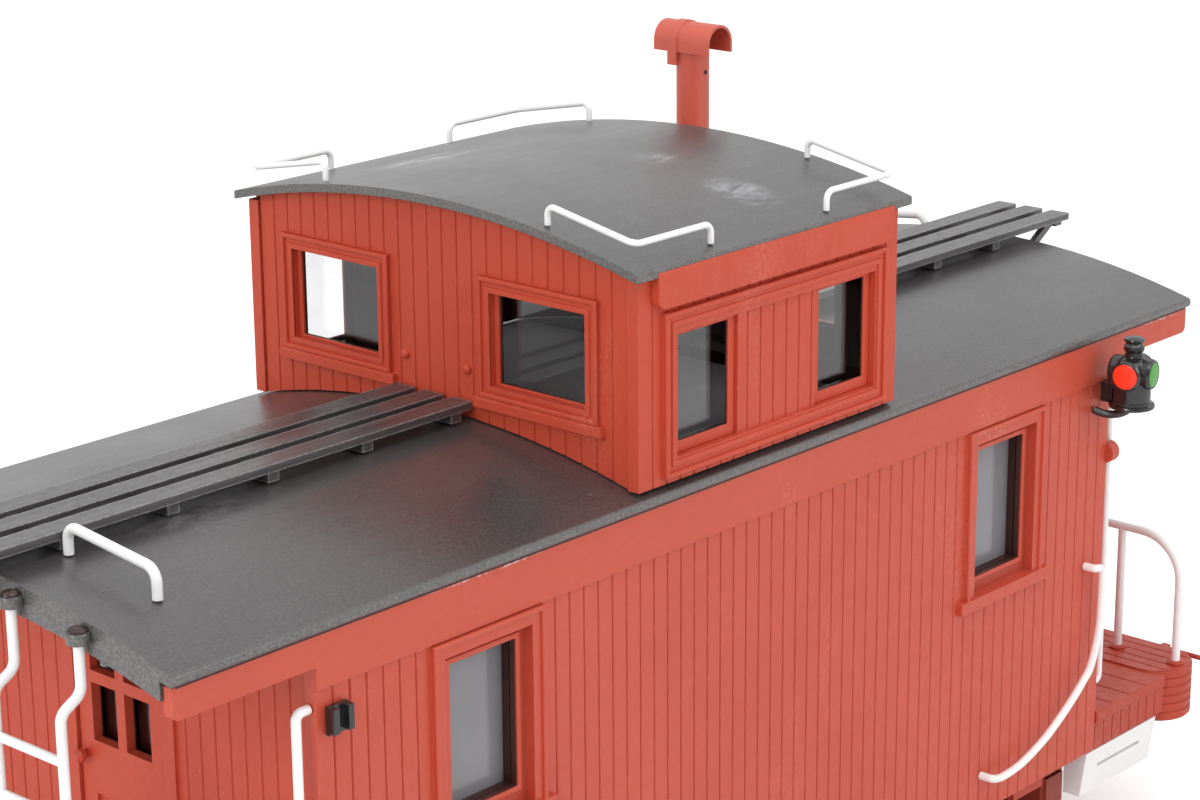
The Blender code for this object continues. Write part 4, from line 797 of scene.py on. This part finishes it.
def cupola_end_trim_piece(name, sign):
    """Casing beads, sash strips, sashes and sills of both windows of a cupola end."""
    near, far, low, high = cupola_end_window
    bm = bmesh.new()
    face = sign * (cupola_end_x + casing_proud)
    for side in (-1, 1):
        a0, a1 = sorted((side * near, side * far))
        trim = cupola_end_trim
        moulding(bm, 0, face, sign, (a0 - trim, a1 + trim, low - cupola_end_low_trim, high + trim),
                 bead)
        moulding(bm, 0, face, sign,
                 (a0 - sash_width, a1 + sash_width, low - sash_width, high + sash_width), sash)
        stile, bottom_rail, top_rail, recess, thick = cupola_end_sash
        set_in(bm, 0, sign, (a0 + hair, a1 - hair, low + hair, high - hair),
               (a0 + stile, a1 - stile, low + bottom_rail, high - top_rail),
               cupola_end_x - recess, cupola_end_x - recess - thick)
        extra, sill_foot, sill_top = cupola_end_sill
        reach = cupola_end_trim + extra
        slab(bm, (sign * (cupola_end_x - hair), a0 - reach, low - sill_foot),
             (sign * (cupola_end_x + sill_proud), a1 + reach, low - sill_top))
    piece(name, bm, cupola_end_red, bevel=fine_bevel)


def side_panes(name, side):
    """Linings behind the sashes of a side, dark as painted shade, and the panes set back in them.
    """
    middle, half, low, high = side_window
    stile, bottom_rail, top_rail = sash_rails
    linings, panes = bmesh.new(), bmesh.new()
    front = half_width - wall_thickness - seat_gap
    back = front - pane_setback
    for sign in (-1, 1):
        x = sign * middle
        inner = (x - half + stile, x + half - stile, low + bottom_rail, high - top_rail)
        outer = (inner[0] - lining_width, inner[1] + lining_width, inner[2] - lining_width,
                 inner[3] + lining_width)
        set_in(linings, 1, side, outer, inner, front, back - lining_step)
        slab(panes, (inner[0] - pane_lap, side * back, inner[2] - pane_lap),
             (inner[1] + pane_lap, side * (back - pane_thickness), inner[3] + pane_lap))
    # The linings' dark colour is painted shade of the reveals.
    piece("pane_shade_linings_" + name, linings, shade_lining_mat)
    piece("side_panes_" + name, panes, pane_mat, bevel=pane_bevel,
          replaces=("side_glass_" + name,))


def door_rails(name, body, sign):
    """Deep bottom rails in the lower lights of a door."""
    near, far, low = door_light
    bm = bmesh.new()
    for side in (-1, 1):
        slab(bm, (sign * (door_face_x - door_thickness), side * (near - hair), low - hair),
             (sign * (door_face_x + hair / 2), side * (far + hair), low + door_rail))
    piece(name, bm, end_red, body)


def look_out_deck():
    """Pale deck under the look-out's windows."""
    bm = bmesh.new()
    slab(bm, *look_out_deck_box)
    piece("look_out_deck", bm, deck_grey, bevel=slim_bevel)


def eave_shadow_strip(name, side):
    """Dark strip on the fascia under an eave: painted shadow of the main roof's edge."""
    bm = bmesh.new()
    face = side * (half_width + fascia_proud)
    slab(bm, (-half_roof + shadow_strip_inset, face - side * hair, eave_z - roof_thickness - shadow_strip_height),
         (half_roof - shadow_strip_inset, face + side * hair, eave_z - roof_thickness - hair))
    # Coloured with the dark painted shade.
    piece(name, bm, shade_lining_mat)


def eave_drip(name, side):
    """Rounded drip edge along an eave of the main roof."""
    bm = bmesh.new()
    y = side * roof_half_width
    z = eave_z - drip_radius
    outline = [(drip_radius * math.cos(t) * drip_share, drip_radius * math.sin(t))
               for t in half_circle(8)]
    rings = [[bm.verts.new((x, y + side * (a - hair), z + b)) for a, b in outline]
             for x in (-half_roof, half_roof)]
    extrude(bm, rings)
    piece(name, bm, main_roof_mat, smooth=60)


# White rods
def rod_piece(name, bm):
    """White rods in the place of the CAD's own."""
    piece(name, bm, white_mat, replaces=(name.replace("_rods", "").replace("_rod", ""),))


def ladder_rails(sign):
    """Y of a ladder's two rails."""
    return [sign * (ladder_offset + step * ladder_width / 2) for step in (-1, 1)]


def ladder(name, sign):
    """Jogged ladder from an end beam to the roof's rim, with the short rail beside it."""
    top_x = sign * (half_roof + ladder_standoff)
    low_x = sign * railing_x
    foot = beam_top_z + seat_gap
    jog = eave_z - ladder_jog_drop
    bm = bmesh.new()
    inner, outer = ladder_rails(sign)
    for y in (inner, outer):
        top = roof_z(y) - boss_drop - boss_height - hair
        path = [(top_x, y, top), (top_x, y, jog + ladder_jog_rise), (low_x, y, jog),
                (low_x, y, foot)]
        tube(bm, rounded(path, bend_radius), ladder_rod)
    z = eave_z - first_rung_drop
    while z > foot + rung_pitch / 2:
        tube(bm, [(low_x, inner, z), (low_x, outer, z)], ladder_rod * rung_share)
        z -= rung_pitch
    rail = beam_top_z + railing_height
    corner = sign * railing_corner
    path = [(low_x, outer, rail), (low_x, corner, rail), (low_x, corner, foot)]
    tube(bm, rounded(path, railing_bend, 10), railing_rod)
    rod_piece(name, bm)


def railing(name, sign):
    """Bent end rail with a middle post."""
    x = sign * railing_x
    foot = beam_top_z + seat_gap
    rail = beam_top_z + railing_height
    bm = bmesh.new()
    path = [(x, -sign * railing_corner, foot), (x, -sign * railing_corner, rail),
            (x, -sign * railing_gate, rail), (x, -sign * railing_gate, foot)]
    tube(bm, rounded(path, railing_bend, 10), railing_rod)
    tube(bm, [(x, -sign * railing_middle, foot), (x, -sign * railing_middle, rail)], railing_rod)
    rod_piece(name, bm)


def post_feet(name, sign):
    """Red flanges where rods stand on the end beam."""
    bm = bmesh.new()
    x = sign * railing_x
    feet = [-sign * y for y in (railing_corner, railing_middle, railing_gate, -railing_corner)]
    for y in feet + ladder_rails(sign):
        lathe(bm, foot_profile, (x, y, beam_top_z - hair), 24)
    piece(name, bm, deck_red)


def grabs():
    """Roof, cupola, side and end grabs as smooth bent rods."""
    x0, near, far, rise, thick = roof_grab
    for end_name, sign in ends:
        bm = bmesh.new()
        x = sign * x0
        a, b = sign * near, sign * far
        path = [(x, a, roof_z(a) + seat_gap), (x, a, roof_z(a) + rise), (x, b, roof_z(b) + rise),
                (x, b, roof_z(b) + seat_gap)]
        tube(bm, rounded(path, bend_radius), thick)
        rod_piece("roof_grab_rod_" + end_name, bm)
        for side_name, side in sides:
            where = "_" + end_name + "_" + side_name
            cupola_grab_piece(where, sign, side)
            side_grab_piece(where, sign, side)
            end_grab_piece(where, sign, side)


def cupola_grab_piece(where, sign, side):
    """Low bent rail round a corner of the cupola's roof."""
    inset, length, height, thick = cupola_grab
    x = sign * (cupola_roof_half_length - inset)
    y = side * (cupola_roof_half_width - inset)
    far_x = x - sign * length
    far_y = y - side * length
    lift = Vector((0, 0, height))
    first = Vector((far_x, y, cupola_z(y) + seat_gap))
    last = Vector((x, far_y, cupola_z(far_y) + seat_gap))
    middle = Vector((x, y, cupola_z(y) + seat_gap)) + lift
    bm = bmesh.new()
    path = [first, first + lift, middle, last + lift, last]
    tube(bm, rounded(path, bend_radius * cupola_bend_share), thick)
    rod_piece("cupola_grab_rod" + where, bm)


def side_grab_piece(where, sign, side):
    """Long curved grab on a corner of a side, both its ends turned in to the wall."""
    y = side * (half_width + side_grab_standoff)
    face = side * (half_width + seat_gap)
    far_x = half_body - side_grab_inset
    top = sill_z + side_grab_foot + side_grab_drop
    route = [Vector((sign * (far_x - side_grab_run * back), y, top - side_grab_drop * down))
             for back, down in side_grab_shares]
    path = smooth_path(route)
    ends_in = [Vector((p.x, face, p.z)) for p in (path[0], path[-1])]
    path = ends_in[:1] + path + ends_in[1:]
    bm = bmesh.new()
    first, last = (rounded(part, side_grab_turn, 4) for part in (path[:3], path[-3:]))
    tube(bm, first + path[3:-2] + last[1:], side_grab_rod)
    rod_piece("side_grab_rod" + where, bm)


def end_grab_piece(where, sign, side):
    """Straight upright grab on a corner of an end wall."""
    standoff, inset, drop, foot = end_grab
    x = sign * (half_body + standoff)
    face = sign * (half_body + seat_gap)
    y = side * (half_width - inset)
    high = eave_z - drop
    low = deck_z + foot
    bm = bmesh.new()
    path = [(face, y, high), (x, y, high), (x, y, low), (face, y, low)]
    tube(bm, rounded(path, bend_radius * end_bend_share), side_grab_rod)
    rod_piece("end_grab_rod" + where, bm)


# Marker lamps
def marker_lamp(name, side):
    """Lamp body with four lens bosses, its curved arm and ribbed socket."""
    centre = Vector((lamp_x, side * lamp_y, lamp_z))
    bm = bmesh.new()
    lathe(bm, [(r * millimetre, z * millimetre) for r, z in lamp_profile], centre, 48)
    for quarter in range(4):
        lathe(bm, rim_profile, centre, 32, lens_turn(side, quarter))
    wall = side * (half_width + seat_gap)
    route = [centre + Vector((x, -side * y, z)) * millimetre for x, y, z in arm_route]
    tube(bm, smooth_path(route), arm_rod)
    count, pitch, half, deep, tall = socket_ribs
    ribs = [(i * pitch - half, i * pitch + half, deep, tall) for i in range(-count, count + 1)]
    x, z = lamp_x + socket_place[0], lamp_z - socket_place[1]
    for near, far, deep, tall in [*socket_blocks, *ribs]:
        slab(bm, (x + near, wall, z - tall), (x + far, wall + side * deep, z + tall))
    piece(name + "_casting", bm, lamp_mat, smooth=24, replaces=(name,))
    for quarter, colour, material, slot_name in ((2, "red", red_lens_mat, "red_lens"),
                                                 (3, "green", green_lens_mat, "green_lens"),
                                                 (0, "rear_red", red_lens_mat, "red_lens")):
        bm = bmesh.new()
        radius, rise, steps = lens_dome
        turns = [math.pi / 2 * i / steps for i in range(steps)]
        dome = [(radius * math.cos(t), lens_seat + rise * math.sin(t)) for t in turns]
        lathe(bm, [(0, lens_seat - rise), (radius, lens_seat - rise), *dome, (0, lens_seat + rise)],
              centre, 32, lens_turn(side, quarter))
        piece(name + "_lens_" + colour, bm, material)


def lens_turn(side, quarter):
    """Turn from +Z to one of the lamp's four lens directions."""
    angle = math.pi / 2 * quarter + lamp_turn
    return z_turned((math.cos(angle), -side * math.sin(angle), 0))


# Smoke pipe
def smoke_pipe():
    """Smooth pipe with roof collar, half-round hood, strap and a dark disc as painted shade of a
    small hole.
    """
    low = roof_z(pipe_y - collar_radius) + seat_gap
    bm = bmesh.new()
    profile = [(radius, low + rise) for radius, rise in collar_profile]
    lathe(bm, profile + [(pipe_radius, pipe_top), (0, pipe_top)], (pipe_x, pipe_y, 0), 48)
    middle = pipe_y + strap_shift
    near, far = middle - strap_width / 2, middle + strap_width / 2
    inner = hood_radius - hood_wall
    centre = hood_radius - hood_wall / 2
    hood(bm, hood_radius, inner, hood_skirt, pipe_y, hood_length)
    hood(bm, hood_radius + strap_proud, centre, hood_skirt + strap_drop, middle, strap_width)
    hood(bm, hood_radius + strap_proud / 2, centre, hood_skirt, near, strap_edge)
    slab(bm, (pipe_x - inner, near, pipe_top - hood_skirt), (pipe_x + inner, far, pipe_top))
    piece("smoke_pipe_and_hood", bm, sheen_pipe_red, replaces=("smoke_pipe",))
    # Painted shade: a dark disc set in the pipe's wall stands for the inside of the small hole.
    bm = bmesh.new()
    radius, deep, proud = pipe_hole
    lathe(bm, ((0, deep), (radius, deep), (radius, proud), (0, proud)),
          (pipe_x, pipe_y, pipe_hole_z), 20, z_turned((0, -1, 0)))
    piece("smoke_pipe_hole_shade", bm, screw_and_hole_shade_mat)


def hood(bm, outer, inner, skirt, middle, length):
    """Half ring with straight skirts over the pipe, extruded along Y."""
    turns = [math.pi * i / hood_steps for i in range(hood_steps + 1)]
    outside, inside = ([(r, -skirt), *((r * math.cos(t), r * math.sin(t)) for t in turns),
                        (-r, -skirt)] for r in (outer, inner))
    points = outside + inside[::-1]
    centre_z = pipe_top + hood_rise
    rings = [[bm.verts.new((pipe_x + x, y, centre_z + z)) for x, z in points]
             for y in (middle - length / 2, middle + length / 2)]
    ring_faces(bm, rings)
    half = len(points) // 2
    for ring in rings:
        for k in range(half - 1):
            bm.faces.new((ring[k], ring[k + 1], ring[-2 - k], ring[-1 - k]))


# Screws, beam ends and small castings
def boss_screws(name, sign):
    """Screw heads sunk in the rim bosses that hold the ladder."""
    bm = bmesh.new()
    x = sign * (half_roof + ladder_standoff)
    for y in ladder_rails(sign):
        lathe(bm, screw_profile, (x, y, roof_z(y) - boss_drop), 24)
    piece(name, bm, screw_and_hole_shade_mat)


def boss_rings(name, sign):
    """Smooth round sleeves over the rim bosses."""
    bm = bmesh.new()
    x = sign * (half_roof + ladder_standoff)
    for y in ladder_rails(sign):
        lathe(bm, boss_profile, (x, y, roof_z(y) - boss_drop), 32)
    piece(name, bm, main_roof_mat, smooth=50)


def beam_bands(name, sign):
    """Raised bands round the ends of the end beam."""
    bm = bmesh.new()
    radius = beam_depth / 2
    middle_x = sign * (beam_inner_x + radius)
    turns = [math.pi * k / 18 for k in range(19)]
    for side in (-1, 1):
        centre_y = side * (half_width + beam_overhang - radius)
        low = beam_top_z - beam_height
        while low < beam_top_z - band_pitch / 2:
            rings = [[bm.verts.new((middle_x + (radius + proud) * math.cos(t),
                                    centre_y + side * (radius + proud) * math.sin(t), low + rise))
                      for t in turns] for proud, rise in band_profile]
            for first, second in zip(rings, rings[1:]):
                for k in range(len(turns) - 1):
                    bm.faces.new((first[k], first[k + 1], second[k + 1], second[k]))
            low += band_pitch
    piece(name, bm, deck_red, smooth=50)


def platform_lip(name, sign):
    """Moulded lip along both sides of the deck."""
    bm = bmesh.new()
    for side in (-1, 1):
        face = side * half_width
        slab(bm, (sign * lip_span[0], face - side * lip_proud, deck_z - lip_height),
             (sign * lip_span[1], face + side * lip_proud, deck_z - hair * 4))
    piece(name, bm, deck_red, bevel=medium_bevel)


def corner_lug(name, side):
    """Half-round lug on the rear corner below the lamp."""
    bm = bmesh.new()
    middle, seat = half_width - lug_middle, side * (half_width - lug_seat)
    outline = [(seat, lug_z - lug_half_height)]
    outline += [(side * (middle + lug_reach * math.cos(t)), lug_z + lug_half_height * math.sin(t))
                for t in half_circle(12)]
    outline += [(seat, lug_z + lug_half_height)]
    extrude(bm, [[bm.verts.new((x, y, z)) for y, z in outline] for x in lug_span])
    piece(name, bm, plain_red, bevel=slim_bevel)


for end_name, sign in ends:
    ladder("ladder_rods_" + end_name, sign)
    railing("railing_rods_" + end_name, sign)
    post_feet("post_feet_" + end_name, sign)
    cupola_end_trim_piece("cupola_end_mouldings_" + end_name, sign)
    door_rails("door_rails_" + end_name, "door_" + end_name, sign)
    boss_screws("boss_screws_" + end_name, sign)
    boss_rings("boss_rings_" + end_name, sign)
    beam_bands("beam_bands_" + end_name, sign)
    platform_lip("platform_lips_" + end_name, sign)
for side_name, side in sides:
    body_window_trim("body_mouldings_" + side_name, side)
    cupola_side_trim_piece("cupola_side_mouldings_" + side_name, side)
    marker_lamp("marker_lamp_" + side_name, side)
    corner_lug("corner_lug_" + side_name, side)
    side_panes(side_name, side)
    eave_drip("eave_drip_" + side_name, side)
    eave_shadow_strip("eave_shadow_strip_" + side_name, side)
grabs()
smoke_pipe()
look_out_deck()

# Floor, light and camera
floor_mesh = bpy.data.meshes.new("floor")
corners = [(floor_half * x, floor_half * y, 0) for x, y in ((-1, -1), (1, -1), (1, 1), (-1, 1))]
floor_mesh.from_pydata(corners, [], [(0, 1, 2, 3)])
floor = add_object("floor", floor_mesh)
floor.location.z = -floor_drop
fs = Shade("pale floor", 0.9, 0.1)
cloud = fs.ramp(fs.noise(3, 2), 0.3, 0.7)
fs.feed("Base Color", fs.mix(cloud, (0.90, 0.90, 0.90), (0.92, 0.92, 0.92)))
path = fs.add("ShaderNodeLightPath")
fs.feed("Emission Color", (1, 1, 1, 1))
shown = fs.math("MAXIMUM", path.outputs["Is Camera Ray"], path.outputs["Is Transmission Ray"])
fs.feed("Emission Strength", fs.math("MULTIPLY", shown, floor_glow))
floor_mesh.materials.append(fs.mat)

world = bpy.data.worlds.new("studio")
bpy.context.scene.world = world
world.use_nodes = True
wt = world.node_tree
back = wt.nodes["Background"]
back.inputs["Color"].default_value = (1, 1, 1, 1)


def sky(operation, a, b):
    """Math node of the world."""
    return add_node(wt, "ShaderNodeMath", {0: a, 1: b}, operation=operation).outputs[0]


# White to camera and glass; reflections darken toward the low front-left, away from the lamps
rays = add_node(wt, "ShaderNodeLightPath", {}).outputs
shown = sky("MAXIMUM", rays["Is Camera Ray"], rays["Is Transmission Ray"])
heading = add_node(wt, "ShaderNodeTexCoord", {}).outputs["Generated"]
lean = add_node(wt, "ShaderNodeVectorMath", {0: heading, 1: sky_lean},
                operation="DOT_PRODUCT").outputs["Value"]
start, end, low, high = sky_span
mirror = add_node(wt, "ShaderNodeMapRange", {"Value": lean, "From Min": start, "From Max": end,
                                             "To Min": low, "To Max": high}).outputs[0]
gloss = sky("MULTIPLY", rays["Is Glossy Ray"], mirror)
matt = sky("MULTIPLY", sky("SUBTRACT", 1.0, rays["Is Glossy Ray"]), matt_glow)
level = sky("MAXIMUM", sky("ADD", gloss, matt), shown)
wt.links.new(level, back.inputs["Strength"])

for name, place, size, power in lights:
    data = bpy.data.lights.new(name, "AREA")
    data.shape = "SQUARE"
    data.size = size
    data.energy = power
    lamp = add_object(name, data)
    lamp.location = place
    lamp.rotation_euler = (light_target - Vector(place)).to_track_quat("-Z", "Y").to_euler()

camera_data = bpy.data.cameras.new("photo_camera")
camera_data.sensor_width = camera_sensor
camera_data.lens = camera_lens
camera_data.clip_start = camera_near
camera = add_object("photo_camera", camera_data)
forward = Vector(camera_forward).normalized()
right = Vector(camera_right).normalized()
up = right.cross(forward).normalized()
right = forward.cross(up).normalized()
turn = Matrix((right, up, -forward)).transposed()
camera.matrix_world = Matrix.Translation(camera_place) @ turn.to_4x4()
bpy.context.scene.camera = camera
bpy.context.scene.view_settings.view_transform = "Standard"
